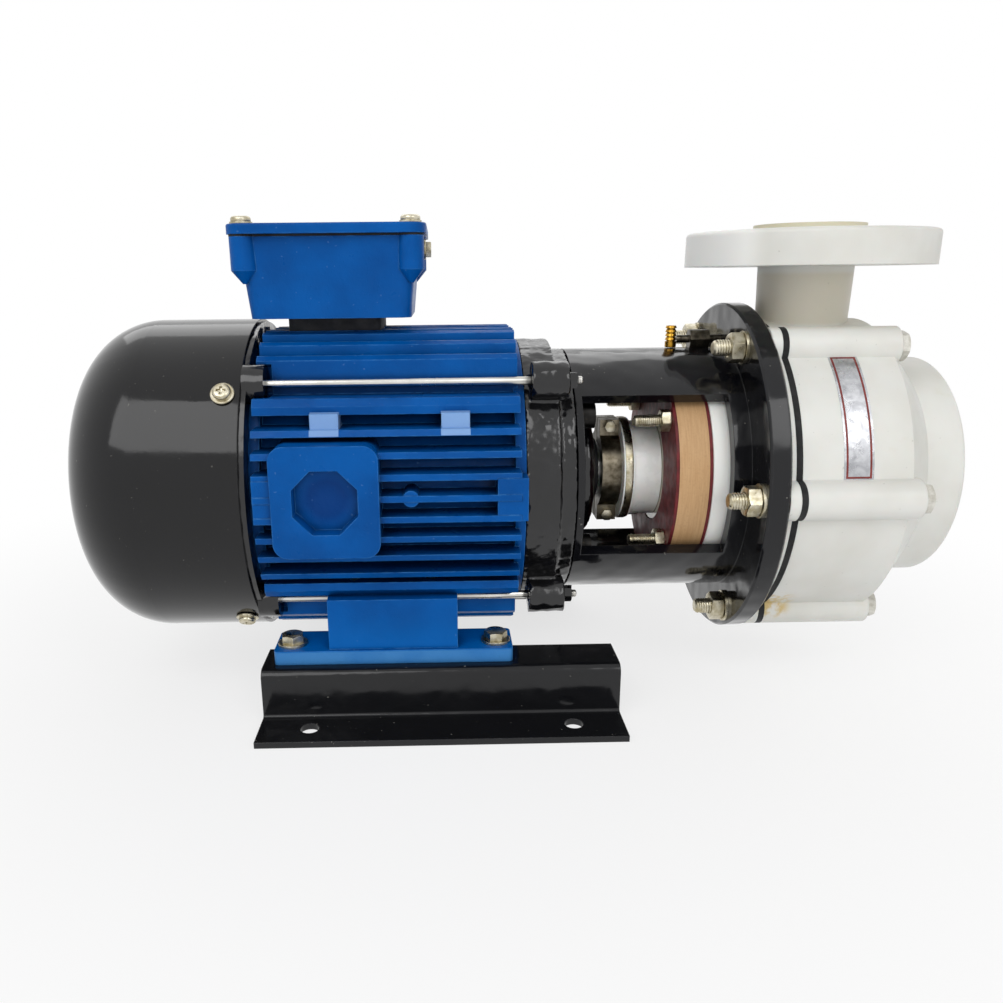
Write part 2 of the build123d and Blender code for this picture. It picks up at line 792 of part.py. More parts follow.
with BuildPart(across(front_bearing_x + bearing_width / 2)) as front_bearing_balls:
    with PolarLocations(bearing_pitch, ball_count):
        Sphere(ball_radius)
front_bearing_balls.part.label = "front_bearing_balls"
export_step(front_bearing_balls.part, "parts/front_bearing_balls.step")

with BuildPart() as rear_bearing_outer:
    race(rear_bearing_x, outer_race_radius, bearing_radius)
rear_bearing_outer.part.label = "rear_bearing_outer"
export_step(rear_bearing_outer.part, "parts/rear_bearing_outer.step")

with BuildPart() as rear_bearing_inner:
    race(rear_bearing_x, bearing_bore, inner_race_radius)
rear_bearing_inner.part.label = "rear_bearing_inner"
export_step(rear_bearing_inner.part, "parts/rear_bearing_inner.step")

with BuildPart(across(rear_bearing_x + bearing_width / 2)) as rear_bearing_balls:
    with PolarLocations(bearing_pitch, ball_count):
        Sphere(ball_radius)
rear_bearing_balls.part.label = "rear_bearing_balls"
export_step(rear_bearing_balls.part, "parts/rear_bearing_balls.step")

# Shaft: one piece from the fan seat to the impeller thread
rotor_x = frame_mid_x - rotor_length / 2
fan_seat_x = fan_x - fan_clip_thick - fan_seat_stub
impeller_x = casing_x + impeller_start
vane_x = impeller_x + shroud_thick
impeller_front_x = vane_x + vane_height
nut_x = impeller_front_x - vane_height / 2
journal_radius = bearing_bore - press_gap / 2

with BuildPart() as motor_shaft:
    disc(fan_seat_x, rear_bearing_x - fan_seat_x, fan_seat_radius)
    disc(rear_bearing_x, bearing_width, journal_radius)
    disc(rear_seat_end, front_bearing_x - rear_seat_end, rotor_shaft_radius)
    disc(front_bearing_x, bearing_width, journal_radius)
    disc(drive_seat_end, nut_x - drive_seat_end, shaft_radius)
    disc(nut_x, impeller_nut_length, thread_radius)
    with BuildSketch(Plane.XY.offset(shaft_z + key_seat + key_height / 2)):
        with Locations((impeller_x + key_length / 2, 0)):
            Rectangle(key_length, key_width)
    extrude(amount=key_height, mode=Mode.SUBTRACT)
    fillet(motor_shaft.edges().filter_by(GeomType.CIRCLE).group_by(Axis.X)[0], shaft_round)
motor_shaft.part.label = "motor_shaft"
export_step(motor_shaft.part, "parts/motor_shaft.step")

with BuildPart() as rotor_core:
    ring(rotor_x, rotor_length, stator_bore - air_gap, rotor_shaft_radius + press_gap)
rotor_core.part.label = "rotor_core"
export_step(rotor_core.part, "parts/rotor_core.step")

with BuildPart() as shaft_key:
    with BuildSketch(Plane.XY.offset(shaft_z + key_seat + key_height / 2)):
        with Locations((impeller_x + key_length / 2, 0)):
            Rectangle(key_length, key_width)
    extrude(amount=key_height)
shaft_key.part.label = "shaft_key"
export_step(shaft_key.part, "parts/shaft_key.step")

# Cooling fan with straight radial blades
fan_hub_end = fan_x + fan_depth
with BuildPart() as cooling_fan:
    disc(fan_hub_end - fan_plate, fan_plate, fan_radius)
    disc(fan_x, fan_depth, fan_hub_radius)
    with BuildSketch(across(fan_x)):
        with PolarLocations((fan_radius + fan_seat_radius) / 2, fan_blades):
            Rectangle(fan_radius - fan_seat_radius, fan_blade_thick)
    extrude(amount=fan_depth)
    disc(fan_x, fan_depth, fan_seat_radius + press_gap, Mode.SUBTRACT)
cooling_fan.part.label = "cooling_fan"
export_step(cooling_fan.part, "parts/cooling_fan.step")

with BuildPart() as fan_clip:
    ring(fan_x - fan_clip_thick, fan_clip_thick, fan_clip_radius, fan_seat_radius + press_gap)
fan_clip.part.label = "fan_clip"
export_step(fan_clip.part, "parts/fan_clip.step")

# Terminal box, its lid and what it holds
neck_z = shaft_z + crown_flat
box_z = neck_z + neck_height
box_top_z = box_z + box_height
lid_z = box_top_z + lid_joint

with BuildPart() as terminal_box_neck:
    with BuildSketch(Plane.XY.offset(neck_z)):
        with Locations((box_x, 0)):
            RectangleRounded(neck_width, neck_width, box_corner / 2)
            Circle(wire_way, mode=Mode.SUBTRACT)
    extrude(amount=neck_height)
terminal_box_neck.part.label = "terminal_box_neck"
export_step(terminal_box_neck.part, "parts/terminal_box_neck.step")

with BuildPart() as terminal_box:
    for sheet, mode in ((0, Mode.ADD), (box_wall, Mode.SUBTRACT)):
        for z, width in ((box_z + sheet, box_bottom), (box_top_z, box_top)):
            with BuildSketch(Plane.XY.offset(z)):
                with Locations((box_x, 0)):
                    RectangleRounded(width - 2 * sheet, width - 2 * sheet, box_corner)
        loft(mode=mode)
    with BuildSketch(Plane.XY.offset(box_top_z - lid_boss_height)):
        with Locations((box_x, 0)):
            with GridLocations(lid_screw_spacing, lid_screw_spacing, 2, 2):
                Circle(lid_boss_radius)
    extrude(amount=lid_boss_height)
    with BuildSketch(Plane.XY.offset(box_top_z - lid_boss_height)):
        with Locations((box_x, 0)):
            with GridLocations(lid_screw_spacing, lid_screw_spacing, 2, 2):
                Circle(lid_boss_radius)
    extrude(amount=lid_boss_foot, dir=(0, 0, -1), taper=lid_boss_angle)
    with BuildSketch(Plane.XY.offset(box_top_z)):
        with Locations((box_x, 0)):
            with GridLocations(lid_screw_spacing, lid_screw_spacing, 2, 2):
                Circle(lid_screw_radius + press_gap)
    extrude(amount=-lid_boss_height + box_wall, mode=Mode.SUBTRACT)
    with BuildSketch(Plane.XY.offset(box_z)):
        with Locations((box_x, 0)):
            Circle(wire_way)
    extrude(amount=box_wall, mode=Mode.SUBTRACT)
terminal_box.part.label = "terminal_box"
export_step(terminal_box.part, "parts/terminal_box.step")

with BuildPart() as lid_gasket:
    with BuildSketch(Plane.XY.offset(box_top_z)):
        with Locations((box_x, 0)):
            RectangleRounded(box_top, box_top, box_corner)
            RectangleRounded(box_top - 2 * box_wall, box_top - 2 * box_wall, box_corner,
                             mode=Mode.SUBTRACT)
            with GridLocations(lid_screw_spacing, lid_screw_spacing, 2, 2):
                Circle(lid_boss_radius)
                Circle(lid_screw_radius + hole_gap, mode=Mode.SUBTRACT)
    extrude(amount=lid_joint)
lid_gasket.part.label = "lid_gasket"
export_step(lid_gasket.part, "parts/lid_gasket.step")

with BuildPart() as terminal_box_lid:
    with BuildSketch(Plane.XY.offset(lid_z)):
        with Locations((box_x, 0)):
            RectangleRounded(lid_width, lid_width, lid_corner)
            with GridLocations(lid_screw_spacing, lid_screw_spacing, 2, 2):
                Circle(lid_screw_radius + hole_gap, mode=Mode.SUBTRACT)
    extrude(amount=lid_thick)
    fillet(terminal_box_lid.faces().sort_by(Axis.Z)[-1].outer_wire().edges(), lid_joint)
terminal_box_lid.part.label = "terminal_box_lid"
export_step(terminal_box_lid.part, "parts/terminal_box_lid.step")

with BuildPart() as lid_screws:
    lid_top = lid_z + lid_thick
    with BuildSketch(Plane.XY.offset(box_top_z - lid_boss_height + 2 * box_wall)):
        with Locations((box_x, 0)):
            with GridLocations(lid_screw_spacing, lid_screw_spacing, 2, 2):
                Circle(lid_screw_radius)
    extrude(amount=lid_joint + lid_thick + lid_boss_height - 2 * box_wall)
    with BuildSketch(Plane.XY.offset(lid_top)):
        with Locations((box_x, 0)):
            with GridLocations(lid_screw_spacing, lid_screw_spacing, 2, 2):
                Circle(lid_screw_head)
    extrude(amount=lid_screw_head_height)
    head_rims = lid_screws.edges().filter_by(GeomType.CIRCLE).group_by(Axis.Z)[-1]
    fillet(head_rims, lid_screw_round)
lid_screws.part.label = "lid_screws"
export_step(lid_screws.part, "parts/lid_screws.step")

board_z = box_z + box_wall
with BuildPart() as terminal_board:
    with BuildSketch(Plane.XY.offset(board_z)):
        with Locations((box_x, 0)):
            RectangleRounded(board_length, board_width, box_wall)
            with GridLocations(board_pitch, board_pitch, 3, 2):
                Circle(board_stud_radius + press_gap, mode=Mode.SUBTRACT)
    extrude(amount=board_thick)
terminal_board.part.label = "terminal_board"
export_step(terminal_board.part, "parts/terminal_board.step")

with BuildPart() as terminal_studs:
    with BuildSketch(Plane.XY.offset(board_z)):
        with Locations((box_x, 0)):
            with GridLocations(board_pitch, board_pitch, 3, 2):
                Circle(board_stud_radius)
    extrude(amount=board_thick + board_stud_height)
    with BuildSketch(Plane.XY.offset(board_z + board_thick)):
        with Locations((box_x, 0)):
            with GridLocations(board_pitch, board_pitch, 3, 2):
                RegularPolygon(board_nut_flats / 2, 6, major_radius=False)
    extrude(amount=board_nut_height)
terminal_studs.part.label = "terminal_studs"
export_step(terminal_studs.part, "parts/terminal_studs.step")

# Lantern: a tube with a window on each side, a web on the motor and the pump flange
window_start = lantern_x + lantern_web
window_stop = flange_x - window_end
with BuildPart() as lantern:
    ring(lantern_x, lantern_length, lantern_radius, lantern_radius - lantern_wall)
    ring(lantern_x, lantern_web, lantern_radius, nose_radius + slip_gap)
    ring(flange_x, flange_thick, flange_radius, lantern_radius - lantern_wall)
    rims = lantern.edges().filter_by(GeomType.CIRCLE).group_by(SortBy.RADIUS)[-1]
    chamfer(rims, flange_chamfer)
    with BuildSketch(across(window_start)):
        for sill, side in ((near_sill_angle, -1), (far_sill_angle, 1)):
            reach = 2 * lantern_radius
            top = Vector(side * reach, 0).rotate(Axis.Z, side * window_top_angle)
            foot = Vector(side * reach, 0).rotate(Axis.Z, -side * sill)
            with BuildLine():
                Polyline((0, 0), (top.X, top.Y), (side * reach, 0), (foot.X, foot.Y), close=True)
            make_face()
        Circle(lantern_radius - 2 * lantern_wall, mode=Mode.SUBTRACT)
    extrude(amount=window_stop - window_start, mode=Mode.SUBTRACT)
    at_casing_bolts(flange_x, flange_thick, bolt_radius + hole_gap, Mode.SUBTRACT)
    with BuildSketch(across(lantern_x)):
        with PolarLocations(lantern_screw_circle, 4, start_angle=45):
            Circle(lantern_screw_radius + hole_gap)
    extrude(amount=lantern_web, mode=Mode.SUBTRACT)
    with BuildSketch(across(flange_x)):
        with Locations((0, flush_z)):
            Circle(flush_stem_radius + press_gap)
    extrude(amount=flange_thick - flange_chamfer, mode=Mode.SUBTRACT)
lantern.part.label = "lantern"
export_step(lantern.part, "parts/lantern.step")

with BuildPart() as lantern_screws:
    with BuildSketch(across(lantern_x + lantern_web)):
        with PolarLocations(lantern_screw_circle, 4, start_angle=45):
            Circle(lantern_screw_head)
    extrude(amount=lantern_screw_head_height)
    with BuildSketch(across(lantern_x - lantern_screw_depth + hole_gap)):
        with PolarLocations(lantern_screw_circle, 4, start_angle=45):
            Circle(lantern_screw_radius)
    extrude(amount=lantern_web + lantern_screw_depth - hole_gap)
lantern_screws.part.label = "lantern_screws"
export_step(lantern_screws.part, "parts/lantern_screws.step")

# Pump back plate with its stuffing neck, and the rubber joint
with BuildPart() as back_plate:
    with BuildSketch(across(back_plate_x)):
        Circle(casing_radius)
        with PolarLocations(bolt_circle, bolt_count):
            Circle(boss_radius)
    extrude(amount=back_plate_thick)
    disc(neck_x, back_plate_x - neck_x, neck_radius)
    disc(neck_x, gasket_x - neck_x, neck_bore, Mode.SUBTRACT)
    at_casing_bolts(back_plate_x, back_plate_thick, bolt_radius + hole_gap, Mode.SUBTRACT)
    at_gland_studs(neck_x, stud_depth, stud_radius + press_gap, Mode.SUBTRACT)
back_plate.part.label = "back_plate"
export_step(back_plate.part, "parts/back_plate.step")

with BuildPart() as casing_gasket:
    with BuildSketch(across(gasket_x)):
        Circle(casing_radius)
        with PolarLocations(bolt_circle, bolt_count):
            Circle(boss_radius)
        Circle(chamber_radius, mode=Mode.SUBTRACT)
        with PolarLocations(bolt_circle, bolt_count):
            Circle(bolt_radius + hole_gap, mode=Mode.SUBTRACT)
    extrude(amount=gasket_thick)
casing_gasket.part.label = "casing_gasket"
export_step(casing_gasket.part, "parts/casing_gasket.step")

# Volute casing: drum with six bosses, sloping shoulder, suction collar and discharge neck
discharge_x = casing_x + discharge_offset
flange_foot_z = shaft_z + discharge_flange_bottom
flange_top_z = flange_foot_z + discharge_flange_thick
raised_z = flange_top_z + raised_height
bore_foot_z = shaft_z + chamber_radius - discharge_bore / 2
drum_end_x = casing_x + casing_depth
throat_x = casing_x + chamber_depth + suction_cone

with BuildPart() as volute_casing:
    disc(casing_x, casing_depth, casing_radius)
    turned(
        (drum_end_x, 0), (drum_end_x, casing_radius), (collar_x, collar_radius),
        (suction_x, collar_radius), (suction_x, 0),
    )
    rims = volute_casing.edges().filter_by(GeomType.CIRCLE)
    fillet(rims.group_by(Axis.X)[-1], collar_round)
    at_casing_bolts(casing_x, boss_end, boss_radius)
    with BuildSketch(Plane.XY.offset(shaft_z + frame_bore)):
        with Locations((discharge_x, 0)):
            Circle(discharge_neck_foot)
    with BuildSketch(Plane.XY.offset(flange_foot_z)):
        with Locations((discharge_x, 0)):
            Circle(discharge_neck_radius)
    loft()
    with BuildSketch(Plane.XY.offset(flange_foot_z)):
        with Locations((discharge_x, 0)):
            Circle(discharge_flange_radius)
    extrude(amount=discharge_flange_thick)
    flange_rims = volute_casing.faces().filter_by(Axis.Z).sort_by(SortBy.AREA)[-1]
    fillet(flange_rims.outer_wire().edges(), discharge_flange_round)
    with BuildSketch(Plane.XY.offset(flange_top_z)):
        with Locations((discharge_x, 0)):
            Circle(raised_radius)
    extrude(amount=raised_height)
    disc(casing_x, chamber_depth, chamber_radius, Mode.SUBTRACT)
    turned(
        (casing_x + chamber_depth, 0), (casing_x + chamber_depth, suction_radius + suction_cone),
        (throat_x, suction_radius), (suction_x, suction_radius), (suction_x, 0),
        mode=Mode.SUBTRACT,
    )
    with BuildSketch(Plane.XY.offset(bore_foot_z)):
        with Locations((discharge_x, 0)):
            Circle(discharge_bore)
    extrude(amount=raised_z - bore_foot_z, mode=Mode.SUBTRACT)
    with BuildSketch(Plane.XY.offset(flange_foot_z)):
        with Locations((discharge_x, 0)):
            with PolarLocations(discharge_hole_circle, discharge_hole_count, start_angle=45):
                Circle(discharge_hole_radius)
    extrude(amount=discharge_flange_thick, mode=Mode.SUBTRACT)
    at_casing_bolts(casing_x, boss_end, bolt_radius + hole_gap, Mode.SUBTRACT)
    at_casing_bolts(casing_x + boss_end, shoulder_length, spot_radius, Mode.SUBTRACT)
    with BuildSketch(across(suction_x)):
        with PolarLocations(collar_hole_circle, collar_hole_count, start_angle=45):
            Circle(collar_hole_radius)
    extrude(amount=-collar_hole_depth, mode=Mode.SUBTRACT)
volute_casing.part.label = "volute_casing"
export_step(volute_casing.part, "parts/volute_casing.step")

# Casing bolts: heads on the casing bosses, nuts and stubs on the motor side of the flange
boss_end_x = casing_x + boss_end
bolt_nut_x = flange_x - bolt_washer_thick - bolt_nut_height
with BuildPart() as casing_bolts:
    with BuildSketch(across(boss_end_x)):
        with PolarLocations(bolt_circle, bolt_count):
            RegularPolygon(bolt_flats / 2, 6, major_radius=False)
    extrude(amount=bolt_head_height)
    at_casing_bolts(bolt_nut_x - bolt_stub, boss_end_x - bolt_nut_x + bolt_stub, bolt_radius)
casing_bolts.part.label = "casing_bolts"
export_step(casing_bolts.part, "parts/casing_bolts.step")

with BuildPart() as casing_washers:
    at_casing_bolts(flange_x, -bolt_washer_thick, bolt_washer_radius)
    at_casing_bolts(flange_x, -bolt_washer_thick, bolt_radius + hole_gap, Mode.SUBTRACT)
casing_washers.part.label = "casing_washers"
export_step(casing_washers.part, "parts/casing_washers.step")

with BuildPart() as casing_nuts:
    with BuildSketch(across(bolt_nut_x)):
        with PolarLocations(bolt_circle, bolt_count):
            RegularPolygon(bolt_flats / 2, 6, major_radius=False)
            Circle(bolt_radius + press_gap, mode=Mode.SUBTRACT)
    extrude(amount=bolt_nut_height)
casing_nuts.part.label = "casing_nuts"
export_step(casing_nuts.part, "parts/casing_nuts.step")

# Impeller: two shrouds with backward-curved vanes between them, and its nut
vane_foot = Vector(impeller_eye - vane_thick / 2, 0)
vane_tip = Vector(impeller_radius - vane_thick / 2, 0).rotate(Axis.Z, -vane_sweep)
vane_middle = Vector((impeller_radius + impeller_eye) / 2, 0).rotate(Axis.Z, -vane_bow / 2)
with BuildSketch() as vane:
    with BuildLine():
        ThreePointArc(vane_foot, vane_middle, vane_tip)
    trace(line_width=vane_thick)

with BuildPart() as impeller:
    disc(impeller_x, shroud_thick, impeller_radius)
    ring(impeller_front_x, shroud_thick, impeller_radius, impeller_eye)
    with BuildSketch(across(vane_x)):
        with PolarLocations(0, vane_count):
            add(vane.sketch)
    extrude(amount=vane_height)
    disc(impeller_x, nut_x - impeller_x, impeller_hub)
    disc(impeller_x, nut_x - impeller_x, shaft_radius + press_gap, Mode.SUBTRACT)
    with BuildSketch(Plane.XY.offset(shaft_z + key_seat + key_height / 2)):
        with Locations((impeller_x + key_length / 2, 0)):
            Rectangle(key_length, key_width + 2 * press_gap)
    extrude(amount=key_height + press_gap, mode=Mode.SUBTRACT)
impeller.part.label = "impeller"
export_step(impeller.part, "parts/impeller.step")

with BuildPart() as impeller_nut:
    disc(nut_x, impeller_nut_length, impeller_nut_radius)
    disc(nut_x + impeller_nut_length, impeller_nut_radius / 2, impeller_nut_radius)
    fillet(impeller_nut.edges().filter_by(GeomType.CIRCLE).group_by(Axis.X)[-1],
           impeller_nut_radius / 2 - press_gap)
    disc(nut_x, impeller_nut_length + press_gap, thread_radius + press_gap, Mode.SUBTRACT)
impeller_nut.part.label = "impeller_nut"
export_step(impeller_nut.part, "parts/impeller_nut.step")

# Shaft sleeve from the clamp ring to the impeller
with BuildPart() as shaft_sleeve:
    ring(clamp_x, impeller_x - clamp_x, sleeve_radius, shaft_radius + press_gap)
shaft_sleeve.part.label = "shaft_sleeve"
export_step(shaft_sleeve.part, "parts/shaft_sleeve.step")

# Gland: tan ring with a gasket on each face, held by four studs in the neck
with BuildPart() as gland_ring:
    ring(gland_x, gland_thick, gland_radius, gland_bore)
    at_gland_studs(gland_x, gland_thick, stud_radius + hole_gap, Mode.SUBTRACT)
gland_ring.part.label = "gland_ring"
export_step(gland_ring.part, "parts/gland_ring.step")

with BuildPart() as gland_gaskets:
    for x in (front_gasket_x, gland_x + gland_thick):
        ring(x, gland_gasket_thick, gland_radius, gland_bore)
    at_gland_studs(front_gasket_x, neck_x - front_gasket_x, stud_radius + hole_gap,
                   Mode.SUBTRACT)
gland_gaskets.part.label = "gland_gaskets"
export_step(gland_gaskets.part, "parts/gland_gaskets.step")

with BuildPart() as seal_seat:
    ring(seat_x, seat_length, gland_bore - slip_gap, sleeve_radius + shaft_gap)
seal_seat.part.label = "seal_seat"
export_step(seal_seat.part, "parts/seal_seat.step")

with BuildPart() as gland_studs:
    at_gland_studs(front_gasket_x - stud_stick_out,
                   neck_x + stud_depth - hole_gap - front_gasket_x + stud_stick_out, stud_radius)
gland_studs.part.label = "gland_studs"
export_step(gland_studs.part, "parts/gland_studs.step")

with BuildPart() as gland_nuts:
    with BuildSketch(across(front_gasket_x - stud_nut_height)):
        with GridLocations(2 * stud_y, 2 * stud_z, 2, 2):
            RegularPolygon(stud_nut_flats / 2, 6, major_radius=False)
            Circle(stud_radius + press_gap, mode=Mode.SUBTRACT)
    extrude(amount=stud_nut_height)
gland_nuts.part.label = "gland_nuts"
export_step(gland_nuts.part, "parts/gland_nuts.step")

# Rotating seal: a plastic bellows clamped on the sleeve
with BuildPart() as seal_bellows:
    ring(bellows_x, bellows_length, bellows_radius, sleeve_radius + press_gap)
    ring(bellows_x, bellows_band_length, bellows_band_radius, sleeve_radius + press_gap)
seal_bellows.part.label = "seal_bellows"
export_step(seal_bellows.part, "parts/seal_bellows.step")

with BuildPart() as seal_clamp_ring:
    with BuildSketch(across(clamp_x)):
        Rectangle(clamp_ear_width, 2 * clamp_ear_radius)
        Circle(clamp_radius)
        Circle(sleeve_radius + press_gap, mode=Mode.SUBTRACT)
        Rectangle(clamp_split, 4 * clamp_ear_radius, mode=Mode.SUBTRACT)
    extrude(amount=clamp_width)
    with BuildSketch(Plane.XZ.offset(clamp_ear_width / 2)):
        with Locations((clamp_x + clamp_width / 2, shaft_z)):
            with GridLocations(1, 2 * clamp_screw_offset, 1, 2):
                Circle(clamp_screw_radius + press_gap)
    extrude(amount=-clamp_ear_width, mode=Mode.SUBTRACT)
seal_clamp_ring.part.label = "seal_clamp_ring"
export_step(seal_clamp_ring.part, "parts/seal_clamp_ring.step")

with BuildPart() as clamp_screws:
    with BuildSketch(Plane.XZ.offset(clamp_ear_width / 2)):
        with Locations((clamp_x + clamp_width / 2, shaft_z)):
            with GridLocations(1, 2 * clamp_screw_offset, 1, 2):
                Circle(clamp_screw_head)
    extrude(amount=clamp_screw_head_height)
    with BuildSketch(Plane.XZ.offset(clamp_ear_width / 2)):
        with Locations((clamp_x + clamp_width / 2, shaft_z)):
            with GridLocations(1, 2 * clamp_screw_offset, 1, 2):
                Circle(clamp_screw_radius)
    extrude(amount=-clamp_ear_width)
clamp_screws.part.label = "clamp_screws"
export_step(clamp_screws.part, "parts/clamp_screws.step")

with BuildPart() as slinger:
    ring(slinger_x, slinger_length, slinger_radius, shaft_radius + press_gap)
slinger.part.label = "slinger"
export_step(slinger.part, "parts/slinger.step")

# Flush fitting above the lantern: a stem from the flange, its nut and an upright nipple
flush_nut_x = flange_x - flush_nut_gap - flush_nut_height
nipple_x = flange_x - nipple_reach
with BuildPart() as flush_stem:
    with BuildSketch(across(nipple_x + nipple_radius)):
        with Locations((0, flush_z)):
            Circle(flush_stem_radius)
    extrude(amount=flange_x - nipple_x - nipple_radius + flange_thick / 2)
    with BuildSketch(across(flush_nut_x)):
        with Locations((0, flush_z)):
            RegularPolygon(flush_nut_flats / 2, 6, major_radius=False)
    extrude(amount=flush_nut_height)
flush_stem.part.label = "flush_stem"
export_step(flush_stem.part, "parts/flush_stem.step")

with BuildPart() as flush_nipple:
    with BuildSketch(Plane.XY.offset(shaft_z + nipple_foot_z)):
        with Locations((nipple_x, 0)):
            Circle(nipple_radius)
            Circle(nipple_bore, mode=Mode.SUBTRACT)
    extrude(amount=nipple_height)
flush_nipple.part.label = "flush_nipple"
export_step(flush_nipple.part, "parts/flush_nipple.step")
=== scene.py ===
import math

import bmesh
import bpy
from mathutils import Matrix, Vector


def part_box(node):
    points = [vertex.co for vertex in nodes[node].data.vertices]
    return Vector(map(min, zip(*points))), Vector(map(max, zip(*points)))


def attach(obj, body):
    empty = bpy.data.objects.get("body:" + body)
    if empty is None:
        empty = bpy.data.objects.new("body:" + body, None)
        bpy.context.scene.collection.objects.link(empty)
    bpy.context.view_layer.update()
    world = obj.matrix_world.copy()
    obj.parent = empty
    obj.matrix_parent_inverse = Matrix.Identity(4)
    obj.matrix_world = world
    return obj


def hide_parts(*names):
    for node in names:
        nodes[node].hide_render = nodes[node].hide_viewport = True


# The looks of an acid transfer pump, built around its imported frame. Metres, +X along the shaft
# from the fan cowl to the suction, +Z up, the floor at z = 0.

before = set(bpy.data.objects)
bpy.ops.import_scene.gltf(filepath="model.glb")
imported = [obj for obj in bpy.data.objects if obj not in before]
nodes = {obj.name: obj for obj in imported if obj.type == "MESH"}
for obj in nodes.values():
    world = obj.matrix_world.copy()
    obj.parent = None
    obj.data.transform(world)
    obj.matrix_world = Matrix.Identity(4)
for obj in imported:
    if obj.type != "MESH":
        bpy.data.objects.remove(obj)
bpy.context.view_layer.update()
MM = 0.001


def low(node):
    """The lowest corner of a node."""
    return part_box(node)[0]


def high(node):
    """The highest corner of a node."""
    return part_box(node)[1]


def middle(node):
    """The middle of a node's box."""
    return (low(node) + high(node)) / 2


# Places read from the frame
SHAFT_Z = middle("motor_shaft").z
FLANGE_X = high("casing_washers").x
GASKET_X = low("casing_gasket").x
CASING_X = high("casing_gasket").x
FOOT_TOP_Z = low("foot_washers").z
FRAME_END_X = low("motor_frame").x
BOSS_END_X = high("casing_bolts").x - 5.3 * MM


# The two pads between the upper fins, where a highlight is painted
FIN_PAD_WIDTH = 13.0 * MM
FIN_PAD_STARTS = (FRAME_END_X + 29.5 * MM, FRAME_END_X + 89.0 * MM)
FIN_PAD_LOW = SHAFT_Z + 31.9 * MM
FIN_PAD_HIGH = SHAFT_Z + 41.6 * MM
FIN_PAD_FACE_Y = -55 * MM

# The middle of the floor of the eight-sided recess, where shade is painted
RECESS_FLOOR = (FRAME_END_X + 36.2 * MM, -73.5 * MM, SHAFT_Z + 3.2 * MM)


# Shader helpers

def rgb(text):
    """A written sRGB colour as the linear colour that a socket takes."""
    parts = [int(text[i:i + 2], 16) / 255 for i in (0, 2, 4)]
    linear = [c / 12.92 if c <= 0.04045 else ((c + 0.055) / 1.055) ** 2.4 for c in parts]
    return (*linear, 1)


